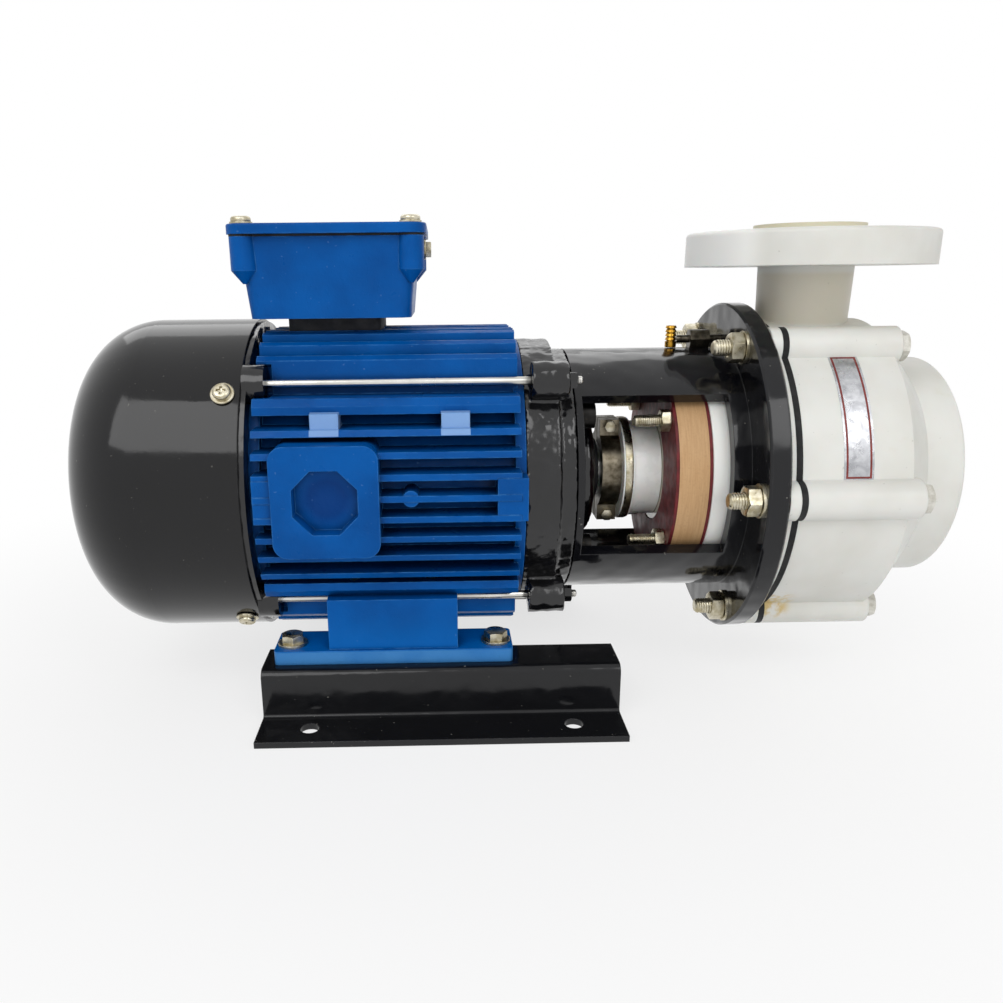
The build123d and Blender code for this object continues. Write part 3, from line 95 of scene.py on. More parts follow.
class Finish:
    """A procedural material, grown from its Principled shader."""

    def __init__(self, name, **sockets):
        self.material = bpy.data.materials.new(name)
        self.material.use_nodes = True
        self.tree = self.material.node_tree
        self.shader = self.tree.nodes["Principled BSDF"]
        self.place = self.add("TexCoord").outputs["Object"]
        for socket, value in sockets.items():
            self.shader.inputs[socket.replace("_", " ")].default_value = value

    def add(self, kind, links=None, **values):
        """A shader node with its links and its socket values or settings."""
        node = self.tree.nodes.new("ShaderNode" + kind)
        for name, value in values.items():
            if name in node.inputs:
                node.inputs[name].default_value = value
            else:
                setattr(node, name, value)
        for name, source in (links or {}).items():
            self.tree.links.new(source, node.inputs[name])
        return node

    def grain(self, size, detail=3.0, rough=0.55, stretch=(1, 1, 1), twist=0.0):
        """Noise from 0 to 1 with features of about this size in metres."""
        mapping = self.add("Mapping", {"Vector": self.place}, Scale=stretch)
        node = self.add(
            "TexNoise", {"Vector": mapping.outputs["Vector"]},
            Scale=1 / size, Detail=detail, Roughness=rough, Distortion=twist,
        )
        return node.outputs["Fac"]

    def steps(self, value, start, end, to_min=0.0, to_max=1.0):
        """A value's span from start to end, spread smoothly over another span."""
        node = self.add("MapRange", {"Value": value}, interpolation_type="SMOOTHSTEP")
        for socket, number in zip(
            ("From Min", "From Max", "To Min", "To Max"), (start, end, to_min, to_max)
        ):
            node.inputs[socket].default_value = number
        return node.outputs["Result"]

    def math(self, operation, a, b):
        """Arithmetic on two values, either of which may be a number."""
        node = self.add("Math", operation=operation)
        for socket, value in zip(node.inputs, (a, b)):
            if isinstance(value, (int, float)):
                socket.default_value = value
            else:
                self.tree.links.new(value, socket)
        return node.outputs["Value"]

    def mix(self, fac, a, b):
        """Two colours, each written or from a node, mixed by a factor."""
        node = self.add("Mix", data_type="RGBA")
        for socket, value in ((node.inputs[0], fac), (node.inputs[6], a), (node.inputs[7], b)):
            if isinstance(value, str):
                socket.default_value = rgb(value)
            elif isinstance(value, (int, float)):
                socket.default_value = value
            else:
                self.tree.links.new(value, socket)
        return node.outputs[2]

    def axis(self, letter):
        """One coordinate of the row frame, in metres."""
        return self.add("SeparateXYZ", {"Vector": self.place}).outputs[letter]

    def near(self, point, radius):
        """1 at a point, falling to 0 at a radius."""
        apart = self.add("VectorMath", {0: self.place}, operation="DISTANCE")
        apart.inputs[1].default_value = point
        return self.steps(apart.outputs["Value"], 0.0, radius, 1.0, 0.0)

    def within(self, value, start, end, soft):
        """1 between two numbers, fading out over a soft margin."""
        rise = self.steps(value, start - soft, start)
        return self.math("MULTIPLY", rise, self.steps(value, end, end + soft, 1.0, 0.0))

    def painted_gap_shade(self, reach):
        """1 in deep gaps, 0 on open faces: a mask for painted shade."""
        open_share = self.add("AmbientOcclusion", Distance=reach, samples=6)
        return self.steps(open_share.outputs["AO"], 0.2, 0.8, 1.0, 0.0)

    def edges(self, radius):
        """1 along sharp edges, 0 on open faces."""
        soft = self.add("Bevel", samples=4, Radius=radius)
        plain = self.add("NewGeometry")
        node = self.add(
            "VectorMath", {0: soft.outputs["Normal"], 1: plain.outputs["Normal"]},
            operation="DOT_PRODUCT",
        )
        return self.steps(node.outputs["Value"], 0.995, 0.86)

    def relief(self, *layers, round_edges=0.0):
        """Bumps of (height, depth in metres), over edges that catch the light."""
        normal = None
        if round_edges:
            normal = self.add("Bevel", samples=4, Radius=round_edges).outputs["Normal"]
        for height, depth in layers:
            node = self.add("Bump", {"Height": height}, Distance=depth, Strength=1.0)
            if normal is not None:
                self.tree.links.new(normal, node.inputs["Normal"])
            normal = node.outputs["Normal"]
        self.tree.links.new(normal, self.shader.inputs["Normal"])

    def colour(self, source):
        """Sets the base colour."""
        self.tree.links.new(source, self.shader.inputs["Base Color"])

    def roughness(self, source):
        """Sets the roughness from a value."""
        self.tree.links.new(source, self.shader.inputs["Roughness"])


# Materials

def blue_paint():
    """Brushed-on blue enamel over a die casting: worn and painted lighter along its edges,
    painted shade in its gaps and recess, painted light on its pedestal and fin pads, and paler
    feet.
    """
    made = Finish("blue_enamel", Specular_IOR_Level=0.11)
    cloud = made.steps(made.grain(0.035), 0.3, 0.7)
    base = made.mix(cloud, "00488e", "0056a4")
    height = made.axis("Z")
    # Painted light: a lighter blue low on the frame, from the top of the feet, fading out 55 mm
    # up
    painted_light_pedestal = made.steps(height, FOOT_TOP_Z, 55 * MM, 0.7, 0.0)
    base = made.mix(painted_light_pedestal, base, "0064b6")
    # The feet are a paler blue below their top, in patches
    paler_feet = made.math("MULTIPLY", made.steps(height, FOOT_TOP_Z - MM, FOOT_TOP_Z, 1.0, 0.0),
                       made.steps(made.grain(0.02), 0.2, 0.6, 0.6, 1.0))
    base = made.mix(made.math("MULTIPLY", paler_feet, 0.75), base, "4a8cc8")
    # Painted shade: darker blue deep in the gaps
    base = made.mix(made.math("MULTIPLY", made.painted_gap_shade(9 * MM), 0.85), base, "001535")
    # Painted shade: darker blue on the floor of the eight-sided recess
    sunk = made.near(RECESS_FLOOR, 17 * MM)
    base = made.mix(made.math("MULTIPLY", made.steps(sunk, 0.0, 0.6), 0.75), base, "003070")
    station = made.axis("X")
    # Painted highlight: the near faces of the two fin pads are painted pale blue, as if catching
    # the light
    for start in FIN_PAD_STARTS:
        across = made.within(station, start, start + FIN_PAD_WIDTH, 0.3 * MM)
        level = made.within(height, FIN_PAD_LOW, FIN_PAD_HIGH, 0.3 * MM)
        front = made.steps(made.axis("Y"), FIN_PAD_FACE_Y, FIN_PAD_FACE_Y + MM, 1.0, 0.0)
        pad_highlight = made.math("MULTIPLY", made.math("MULTIPLY", across, level), front)
        base = made.mix(made.math("MULTIPLY", pad_highlight, 0.8), base, "8fb4e4")
    # Lighter blue along sharp edges, in patches: partly wear, partly a painted highlight on the
    # rims
    edge_wear_and_highlight = made.math("MULTIPLY", made.edges(0.9 * MM), made.steps(made.grain(0.006), 0.3, 0.65))
    base = made.mix(made.math("MULTIPLY", edge_wear_and_highlight, 0.6), base, "4a90d4")
    dust = made.steps(made.grain(0.0022, detail=1.0), 0.74, 0.8)
    base = made.mix(made.math("MULTIPLY", dust, 0.22), base, "6f96c4")
    made.colour(base)
    made.roughness(made.steps(made.grain(0.012), 0.25, 0.75, 0.26, 0.46))
    skin = made.grain(0.0035, detail=2.0)
    pits = made.steps(made.grain(0.0016, detail=1.0), 0.62, 0.8)
    made.relief((skin, 0.18 * MM), (pits, 0.08 * MM), round_edges=0.7 * MM)
    return made.material


def black_gloss(name, tone="08080a", waves=0.012, depth=0.12, rough=(0.1, 0.2), dust=0.4):
    """Gloss black paint with orange peel, faint waves and a little dust."""
    made = Finish(name, Specular_IOR_Level=0.38)
    base = made.mix(made.grain(0.03), tone, "0c0c0f")
    rubbed = made.math("MULTIPLY", made.edges(0.6 * MM), made.steps(made.grain(0.004), 0.4, 0.7))
    base = made.mix(made.math("MULTIPLY", rubbed, 0.4), base, "4a4a4c")
    specks = made.steps(made.grain(0.0018, detail=1.0), 0.75, 0.8)
    base = made.mix(made.math("MULTIPLY", specks, dust), base, "8a8880")
    made.colour(base)
    made.roughness(made.steps(made.grain(0.02), 0.25, 0.75, *rough))
    peel = made.grain(0.0026, detail=1.0)
    swell = made.grain(waves, detail=1.0)
    made.relief((swell, depth * MM), (peel, 0.012 * MM), round_edges=0.6 * MM)
    return made.material


def cast_black():
    """Thick black paint over a coarse sand casting."""
    made = Finish("black_cast", Specular_IOR_Level=0.6)
    base = made.mix(made.steps(made.grain(0.009), 0.35, 0.7), "060608", "0d0d10")
    made.colour(base)
    made.roughness(made.steps(made.grain(0.012), 0.3, 0.7, 0.07, 0.2))
    lumps = made.grain(0.011, detail=1.5, rough=0.45)
    made.relief((lumps, 1.1 * MM), (made.grain(0.003, detail=1.0), 0.07 * MM))
    return made.material


def metal(name, light, dark, rough, grain=0.004, lines=(1, 1, 1), depth=0.02, grime=0.5):
    """A metal whose colour and polish vary, with marks along one direction."""
    made = Finish(name, Metallic=1.0)
    stain = made.steps(made.grain(grain), 0.3, 0.72)
    base = made.mix(stain, light, dark)
    soiled = made.steps(made.grain(0.0016), 0.62, 0.75)
    made.colour(made.mix(made.math("MULTIPLY", soiled, grime), base, "4a4232"))
    made.roughness(made.steps(made.grain(grain * 1.7), 0.3, 0.7, *rough))
    marks = made.grain(0.0007, detail=2.0, stretch=lines)
    made.relief((marks, depth * MM), round_edges=0.25 * MM)
    return made.material


def bolt_metal():
    """Zinc on the motor side, painted pale with the casing at the heads."""
    made = Finish("casing_bolt_finish")
    stain = made.steps(made.grain(0.004), 0.3, 0.72)
    zinc = made.mix(stain, "cfc9b6", "a49a7c")
    painted = made.steps(made.axis("X"), GASKET_X, GASKET_X + MM)
    made.colour(made.mix(painted, zinc, made.mix(stain, "dedcd4", "b4b0a4")))
    made.tree.links.new(made.steps(painted, 0.0, 1.0, 1.0, 0.0), made.shader.inputs["Metallic"])
    made.roughness(made.steps(made.grain(0.005), 0.3, 0.7, 0.22, 0.42))
    made.relief((made.grain(0.0009), 0.02 * MM), round_edges=0.25 * MM)
    return made.material


def white_plastic():
    """Machined off-white polymer with turning lines, handling marks and a glue stain."""
    made = Finish("white_polymer", Subsurface_Weight=0.08, Subsurface_Scale=0.004,
                  Specular_IOR_Level=0.42)
    base = made.mix(made.steps(made.grain(0.04), 0.3, 0.7), "e2e2dd", "d8d7d0")
    warm = made.steps(made.grain(0.018, detail=4.0), 0.62, 0.8)
    base = made.mix(made.math("MULTIPLY", warm, 0.3), base, "cfc8b0")
    scuff = made.steps(made.grain(0.0022, detail=2.0), 0.72, 0.78)
    base = made.mix(made.math("MULTIPLY", scuff, 0.3), base, "8f8d84")
    glue_at = (CASING_X + 4 * MM, -52 * MM, SHAFT_Z - 62 * MM)
    glue = made.math("MULTIPLY", made.steps(made.near(glue_at, 13 * MM), 0.0, 0.5),
                     made.steps(made.grain(0.006, detail=3.0), 0.38, 0.56))
    base = made.mix(made.math("MULTIPLY", glue, 0.85), base, "cbaf66")
    top = high("volute_casing").z
    sunned = made.steps(made.axis("Z"), top - 2.5 * MM, top - 1.5 * MM)
    base = made.mix(made.math("MULTIPLY", sunned, 0.55), base, "d8cfa2")
    # Painted shade: a darker beige band round the neck just under the discharge flange
    shade_under_flange = made.within(made.axis("Z"), 184 * MM, 206 * MM, 3 * MM)
    base = made.mix(made.math("MULTIPLY", shade_under_flange, 0.5), base, "c6bba0")
    # Painted light: the polymer on the motor side of the gasket, in the lantern's shade, is
    # painted near white
    neck_painted_light = made.steps(made.axis("X"), GASKET_X - 20 * MM, GASKET_X - 10 * MM, 1.0, 0.0)
    base = made.mix(made.math("MULTIPLY", neck_painted_light, 0.8), base, "fafaf6")
    made.colour(base)
    made.roughness(made.steps(made.grain(0.015), 0.25, 0.75, 0.3, 0.48))
    turned = made.grain(0.0009, detail=1.0, stretch=(1.6, 0.12, 0.12))
    dents = made.grain(0.012, detail=3.0)
    made.relief((turned, 0.02 * MM), (dents, 0.12 * MM), round_edges=0.8 * MM)
    return made.material


def tan_laminate():
    """Cotton laminate, with its cloth layers showing as fine rings on the rim."""
    made = Finish("tan_laminate", Roughness=0.55)
    layers = made.grain(0.0008, detail=2.0, stretch=(1.0, 0.06, 0.06))
    cloth = made.grain(0.0009, detail=1.0)
    base = made.mix(made.steps(layers, 0.25, 0.75), "c9a377", "be9669")
    base = made.mix(made.math("MULTIPLY", made.steps(cloth, 0.5, 0.8), 0.25), base, "a07c52")
    base = made.mix(made.math("MULTIPLY", made.edges(0.7 * MM), 0.5), base, "d9b588")
    made.colour(base)
    made.relief((layers, 0.05 * MM), (cloth, 0.03 * MM), round_edges=0.4 * MM)
    return made.material


def rubber(name, light, dark, rough=(0.55, 0.8)):
    """Sheet rubber or fibre with a dull, slightly mottled skin."""
    made = Finish(name, Specular_IOR_Level=0.35)
    made.colour(made.mix(made.steps(made.grain(0.005), 0.3, 0.7), light, dark))
    made.roughness(made.steps(made.grain(0.007), 0.3, 0.7, *rough))
    made.relief((made.grain(0.001, detail=3.0), 0.05 * MM), round_edges=0.4 * MM)
    return made.material


def smooth_white(name, light, dark, rough):
    """Dense white seal material with a waxy sheen."""
    made = Finish(name, Subsurface_Weight=0.12, Subsurface_Scale=0.003, Coat_Weight=0.2)
    base = made.mix(made.steps(made.grain(0.012), 0.3, 0.7), light, dark)
    rings = made.grain(0.0006, detail=1.0, stretch=(1.5, 0.08, 0.08))
    made.colour(base)
    made.roughness(made.steps(made.grain(0.01), 0.3, 0.7, *rough))
    made.relief((rings, 0.015 * MM), round_edges=0.7 * MM)
    return made.material


def laminations():
    """Stacked core sheets, seen edge on as fine lines across the shaft."""
    made = Finish("core_sheets", Metallic=0.9)
    sheets = made.add("TexWave", {"Vector": made.place}, Scale=320.0, Distortion=0.4,
                      bands_direction="X")
    made.colour(made.mix(sheets.outputs["Fac"], "56565a", "77777a"))
    made.roughness(made.steps(made.grain(0.01), 0.3, 0.7, 0.35, 0.55))
    made.relief((sheets.outputs["Fac"], 0.06 * MM))
    return made.material


def windings():
    """Varnished copper wire, wound as fine cords round the bore."""
    made = Finish("wound_copper", Metallic=0.6, Coat_Weight=0.6, Coat_Roughness=0.15)
    wires = made.grain(0.0012, detail=2.0, stretch=(1.0, 0.25, 0.25), twist=0.8)
    made.colour(made.mix(made.steps(wires, 0.35, 0.65), "7c3a16", "b86a34"))
    made.roughness(made.steps(wires, 0.3, 0.7, 0.3, 0.5))
    made.relief((wires, 0.35 * MM))
    return made.material


def moulded(name, light, dark):
    """Dark moulded plastic with a fine eroded skin."""
    made = Finish(name)
    made.colour(made.mix(made.steps(made.grain(0.02), 0.3, 0.7), light, dark))
    made.roughness(made.steps(made.grain(0.004), 0.3, 0.7, 0.4, 0.58))
    made.relief((made.grain(0.0008, detail=2.0), 0.04 * MM), round_edges=0.5 * MM)
    return made.material


def foil():
    """Crinkled silver foil."""
    made = Finish("silver_foil", Metallic=1.0)
    creases = made.grain(0.006, detail=4.0, twist=0.6)
    made.colour(made.mix(made.steps(creases, 0.3, 0.7), "c9cacd", "a7a8ac"))
    made.roughness(made.steps(made.grain(0.004), 0.3, 0.7, 0.22, 0.4))
    made.relief((creases, 0.25 * MM), (made.grain(0.0009), 0.02 * MM))
    return made.material


zinc = metal("zinc_plate", "cfc9b6", "a1977a", (0.22, 0.45))
black_oxide = metal("black_oxide", "2c2b2a", "1b1a19", (0.3, 0.45))
bright = metal("bright_steel_bar", "dddcd8", "c2c0ba", (0.2, 0.34), grain=0.02, lines=(0.1, 1, 1),
               depth=0.005, grime=0.08)
finishes = {
    "blue_paint": blue_paint(),
    "black_paint": black_gloss("black_enamel"),
    "zinc_steel": zinc,
    "bright_steel": bright,
    "core_steel": laminations(),
    "winding": windings(),
    "white_plastic": white_plastic(),
    "fan_plastic": moulded("fan_nylon", "17171a", "232327"),
    "board_plastic": moulded("board_moulding", "4a2a1c", "63392a"),
    "neck_rubber": rubber("neck_rubber_skin", "15161a", "222328"),
    "joint_rubber": rubber("joint_rubber_skin", "0e0e0f", "1b1b1c"),
    "maroon_joint": rubber("maroon_sheet", "6e2227", "4d161a", (0.45, 0.65)),
    "tan_ring": tan_laminate(),
    "seal_white": smooth_white("seal_polymer", "fafaf7", "f0f0ec", (0.25, 0.4)),
    "seal_face": smooth_white("seal_ceramic", "e4dfd2", "d3ccba", (0.12, 0.25)),
    "brass": metal("turned_brass", "c99a3a", "8c6420", (0.18, 0.36)),
}
own_finishes = {
    "drive_endshield": cast_black(),
    "fan_cowl": black_gloss("cowl_enamel", "060607", 0.03, 0.1, (0.06, 0.13), 0.25),
    "near_rail": black_gloss("rail_enamel", "121316", 0.011, 0.35, (0.08, 0.2), 0.6),
    "lantern": black_gloss("lantern_enamel", "0b0c11", 0.017, 1.1, (0.05, 0.17), 0.5),
    "casing_bolts": bolt_metal(),
    "lantern_screws": black_oxide,
    "seal_clamp_ring": metal("sprung_steel", "8a8272", "574f40", (0.28, 0.46)),
    "flush_stem": metal("stained_steel", "6a6458", "37332c", (0.25, 0.42)),
    "clamp_screws": zinc,
}
own_finishes["rear_endshield"] = own_finishes["drive_endshield"]
own_finishes["far_rail"] = own_finishes["near_rail"]
for name, node in nodes.items():
    written = node.material_slots[0].material.name.split(".")[0]
    for place in node.material_slots:
        place.material = own_finishes.get(name) or finishes[written]


# Mesh helpers

def along(origin, direction):
    """The frame whose z axis points in a direction from an origin."""
    turn = Vector(direction).to_track_quat("Z", "Y").to_matrix().to_4x4()
    return Matrix.Translation(origin) @ turn


def piece(name, mesh, finish, body, crease=32, replaced=()):
    """A finished object from a bmesh, riding on a body."""
    bmesh.ops.recalc_face_normals(mesh, faces=mesh.faces)
    data = bpy.data.meshes.new(name)
    mesh.to_mesh(data)
    mesh.free()
    data.shade_smooth()
    data.set_sharp_from_angle(angle=math.radians(crease))
    made = bpy.data.objects.new(name, data)
    bpy.context.scene.collection.objects.link(made)
    data.materials.append(finish)
    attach(made, body)
    if replaced:
        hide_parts(*replaced)
    return made


def ringed(mesh, rings, closed=False):
    """Faces between rings of points; a ring of one point closes an end."""
    loops = [[mesh.verts.new(point) for point in ring] for ring in rings]
    if closed:
        loops.append(loops[0])
    for first, second in zip(loops, loops[1:]):
        count = max(len(first), len(second))
        for i in range(count):
            k = (i + 1) % count
            if len(first) == 1:
                mesh.faces.new((first[0], second[i], second[k]))
            elif len(second) == 1:
                mesh.faces.new((first[i], second[0], first[k]))
            else:
                mesh.faces.new((first[i], second[i], second[k], first[k]))


def lathe(mesh, place, profile, steps=40, closed=False):
    """Turns (height, radius) points about the place's z axis."""
    rings = []
    for height, radius in profile:
        if radius == 0:
            rings.append([place @ Vector((0, 0, height))])
            continue
        turns = [2 * math.pi * i / steps for i in range(steps)]
        rings.append([
            place @ Vector((radius * math.cos(t), radius * math.sin(t), height)) for t in turns
        ])
    ringed(mesh, rings, closed)


def hexagon(mesh, place, flats, start, end, bore=0.0, both=True, turn=0.0):
    """A hexagon with its corners turned off, and a bore or a flat face."""
    side = 12
    steps = 6 * side
    slope = math.tan(math.radians(28))
    face_radius = 0.475 * flats

    def ring(reach, height, droop):
        """One outline, at a set radius or at the hexagon's own rim."""
        points = []
        for i in range(steps):
            angle = 2 * math.pi * i / steps
            within = (angle + turn) % (math.pi / 3) - math.pi / 6
            rim = flats / 2 / math.cos(within)
            radius = reach or rim
            drop = droop * max(0.0, rim - face_radius) * slope if not reach else 0.0
            points.append(place @ Vector((
                radius * math.cos(angle), radius * math.sin(angle), height + drop)))
        return points

    low_droop = 1 if both else 0
    rings = [
        ring(face_radius, start, 0), ring(None, start, low_droop),
        ring(None, end, -1), ring(face_radius, end, 0),
    ]
    if bore:
        rings += [
            ring(bore * 1.12, end, 0), ring(bore, end - 0.12 * bore, 0),
            ring(bore, start + 0.12 * bore, 0), ring(bore * 1.12, start, 0),
        ]
        ringed(mesh, rings, closed=True)
    else:
        rings = [[place @ Vector((0, 0, start))]] + rings + [[place @ Vector((0, 0, end))]]
        ringed(mesh, rings)


def thread(mesh, place, radius, start, end, pitch, depth):
    """A helical ridge on a shank, running out at both ends."""
    steps = 20
    count = int((end - start) / pitch * steps)
    rings = []
    for i in range(count + 1):
        angle = 2 * math.pi * i / steps
        fade = min(1.0, i / steps, (count - i) / steps)
        height = start + (end - start) * i / count
        crest = radius + depth * fade
        foot = radius - 0.1 * MM
        points = ((foot, -0.42 * pitch), (crest, -0.06 * pitch), (crest, 0.06 * pitch),
                  (foot, 0.42 * pitch))
        rings.append([
            place @ Vector((r * math.cos(angle), r * math.sin(angle), height + h))
            for r, h in points
        ])
    ringed(mesh, rings)
    mesh.verts.ensure_lookup_table()
    first = len(mesh.verts) - 4 * (count + 1)
    mesh.faces.new([mesh.verts[first + i] for i in range(4)])
    mesh.faces.new([mesh.verts[len(mesh.verts) - 1 - i] for i in range(4)])


def shank(mesh, place, radius, start, end, pitch, thread_end, depth=0.045):
    """A plain bar with a chamfered tip at start, threaded from there on."""
    core = radius * (1 - 2 * depth)
    tip = 0.7 * pitch
    lathe(mesh, place, (
        (start, 0), (start, core - tip), (start + tip, core), (thread_end, core),
        (thread_end + tip, radius), (end, radius), (end, 0),
    ), steps=32)
    thread(mesh, place, core, start + tip, thread_end, pitch, radius - core)


# Fasteners that stand for the plain solids

def circle_places(count, radius, first=0.0):
    """Points on a circle about the shaft, as (y, z) offsets, from the far side upward."""
    turns = [first + 2 * math.pi * k / count for k in range(count)]
    return [(radius * math.cos(t), radius * math.sin(t)) for t in turns]


BOLT_CIRCLE = 76.4 * MM
BOLT_RADIUS = 4.0 * MM
BOLT_FLATS = 13.0 * MM
bolt_low = low("casing_bolts").x
bolt_high = high("casing_bolts").x
nut_low = low("casing_nuts").x
nut_high = high("casing_nuts").x

bolts = bmesh.new()
nuts = bmesh.new()
for k, (y, z) in enumerate(circle_places(6, BOLT_CIRCLE)):
    place = along((0, y, SHAFT_Z + z), (1, 0, 0))
    shank(bolts, place, BOLT_RADIUS, bolt_low, BOSS_END_X, 1.25 * MM, FLANGE_X - MM)
    hexagon(bolts, place, BOLT_FLATS, BOSS_END_X, bolt_high, both=False, turn=0.4 * k)
    hexagon(nuts, place, BOLT_FLATS, nut_low, nut_high, bore=BOLT_RADIUS, turn=0.7 * k)
piece("casing_bolts_cut", bolts, own_finishes["casing_bolts"], "pump_body",
      replaced=("casing_bolts",))
piece("casing_nuts_cut", nuts, zinc, "pump_body", replaced=("casing_nuts",))

STUD_Y = 34.2 * MM
STUD_Z = 30.8 * MM
STUD_RADIUS = 3.0 * MM
stud_low = low("gland_studs").x
stud_high = high("gland_studs").x
gland_nut_low = low("gland_nuts").x
gland_nut_high = high("gland_nuts").x
studs = bmesh.new()
gland_nuts = bmesh.new()
for y in (-STUD_Y, STUD_Y):
    for z in (-STUD_Z, STUD_Z):
        place = along((0, y, SHAFT_Z + z), (1, 0, 0))
        shank(studs, place, STUD_RADIUS, stud_low, stud_high, 1.0 * MM, gland_nut_high)
        hexagon(gland_nuts, place, 10 * MM, gland_nut_low, gland_nut_high,
                bore=STUD_RADIUS, turn=20 * y / STUD_Y)
piece("gland_studs_cut", studs, zinc, "pump_body",
      replaced=("gland_studs",))
piece("gland_nuts_cut", gland_nuts, zinc, "pump_body",
      replaced=("gland_nuts",))

ROD_Y = 51.4 * MM
ROD_Z = 53.2 * MM
ROD_RADIUS = 2.0 * MM
rod_low = low("tie_rods").x
rod_high = high("tie_rods").x
rod_nut_low = low("tie_rod_nuts").x
rod_nut_high = high("tie_rod_nuts").x
rods = bmesh.new()
rod_nuts = bmesh.new()
for y in (-ROD_Y, ROD_Y):
    for z in (-ROD_Z, ROD_Z):
        place = along((0, y, SHAFT_Z + z), (-1, 0, 0))
        shank(rods, place, ROD_RADIUS, -rod_high, -rod_low - 4 * MM, 0.7 * MM,
              -rod_nut_low + 8 * MM)
        hexagon(rods, place, 7 * MM, -rod_low - 4 * MM, -rod_low, both=False)
        hexagon(rod_nuts, place, 7 * MM, -rod_nut_high, -rod_nut_low, bore=ROD_RADIUS)
piece("tie_rods_cut", rods, bright, "pump_body", replaced=("tie_rods",))
piece("tie_rod_nuts_cut", rod_nuts, own_finishes["drive_endshield"], "pump_body",
      replaced=("tie_rod_nuts",))

FOOT_X = (-73 * MM, 27 * MM)
FOOT_Y = 62.5 * MM
foot_low = low("foot_bolts").z
foot_high = high("foot_bolts").z
washer_low = low("foot_washers").z
washer_high = high("foot_washers").z
foot_nut_low = low("foot_nuts").z
foot_nut_high = high("foot_nuts").z
foot_bolts = bmesh.new()
foot_nuts = bmesh.new()
foot_washers = bmesh.new()
for x in FOOT_X:
    for y in (-FOOT_Y, FOOT_Y):
        place = along((x, y, 0), (0, 0, 1))
        shank(foot_bolts, place, 3 * MM, foot_low, washer_high, 1.0 * MM, foot_nut_high)
        hexagon(foot_bolts, place, 10 * MM, washer_high, foot_high, both=False,
                turn=7 * x + 3 * y)
        hexagon(foot_nuts, place, 10 * MM, foot_nut_low, foot_nut_high, bore=3 * MM)
        lathe(foot_washers, place, (
            (washer_low, 3.4 * MM), (washer_low, 7.2 * MM), (washer_high - 0.3 * MM, 7.2 * MM),
            (washer_high, 6.8 * MM), (washer_high, 3.4 * MM),
        ), closed=True)
piece("foot_bolts_cut", foot_bolts, zinc, "pump_body",
      replaced=("foot_bolts",))
piece("foot_nuts_cut", foot_nuts, zinc, "pump_body",
      replaced=("foot_nuts",))
piece("foot_washers_cut", foot_washers, zinc, "pump_body",
      replaced=("foot_washers",))


def pan_head(mesh, place, start, radius, height):
    """A domed head with a cross recess, on its seat at start."""
    steps = 48
    slot_half = 0.16 * radius
    slot_reach = 0.52 * radius
    deep = 0.45 * height
    profile = [(0.0, radius * 0.96), (0.12 * height, radius)]
    for k in range(7):
        angle = math.pi / 2 * k / 6
        profile.append((
            height * (0.45 + 0.55 * math.sin(angle)),
            radius * (0.62 + 0.38 * math.cos(angle)),
        ))
    lathe(mesh, place, [(start, 0)] + [(start + h, r) for h, r in profile], steps=steps)
    rim = list(mesh.verts)[-steps:]
    centre_z = start + height
    arms = []
    for i in range(steps):
        angle = 2 * math.pi * i / steps
        toward = (angle + math.pi / 4) % (math.pi / 2) - math.pi / 4
        reach = min(slot_reach / math.cos(toward), slot_half / max(abs(math.sin(toward)), 1e-6))
        arms.append(Vector((reach * math.cos(angle), reach * math.sin(angle), 0)))
    lip = [mesh.verts.new(place @ (p + Vector((0, 0, centre_z)))) for p in arms]
    sunk = [mesh.verts.new(place @ (0.72 * p + Vector((0, 0, centre_z - deep)))) for p in arms]
    hub = mesh.verts.new(place @ Vector((0, 0, centre_z - 1.25 * deep)))
    for i in range(steps):
        k = (i + 1) % steps
        mesh.faces.new((rim[i], lip[i], lip[k], rim[k]))
        mesh.faces.new((lip[i], sunk[i], sunk[k], lip[k]))
        mesh.faces.new((sunk[i], hub, sunk[k]))


COWL_TURN = math.radians(6.5)
COWL_RADIUS = 80.5 * MM
WASHER_FOOT = COWL_RADIUS + 0.1 * MM
cowl_screw_x = middle("cowl_screws").x
cowl_screws = bmesh.new()
for k in range(4):
    turn = COWL_TURN + math.pi / 4 + math.pi / 2 * k
    place = along((cowl_screw_x, 0, SHAFT_Z), (0, math.cos(turn), math.sin(turn)))
    lathe(cowl_screws, place, (
        (WASHER_FOOT - 9 * MM, 0), (WASHER_FOOT - 9 * MM, 2.5 * MM), (WASHER_FOOT, 2.5 * MM),
        (WASHER_FOOT, 0),
    ))
    lathe(cowl_screws, place, (
        (WASHER_FOOT, 0), (WASHER_FOOT, 5.2 * MM), (WASHER_FOOT + 0.3 * MM, 5.5 * MM),
        (WASHER_FOOT + 0.9 * MM, 5.5 * MM), (WASHER_FOOT + 1.2 * MM, 5.1 * MM),
        (WASHER_FOOT + 1.2 * MM, 0),
    ))
    pan_head(cowl_screws, place, WASHER_FOOT + 1.2 * MM, 4.2 * MM, 2.6 * MM)
piece("cowl_screws_cut", cowl_screws, zinc, "pump_body",
      replaced=("cowl_screws",))

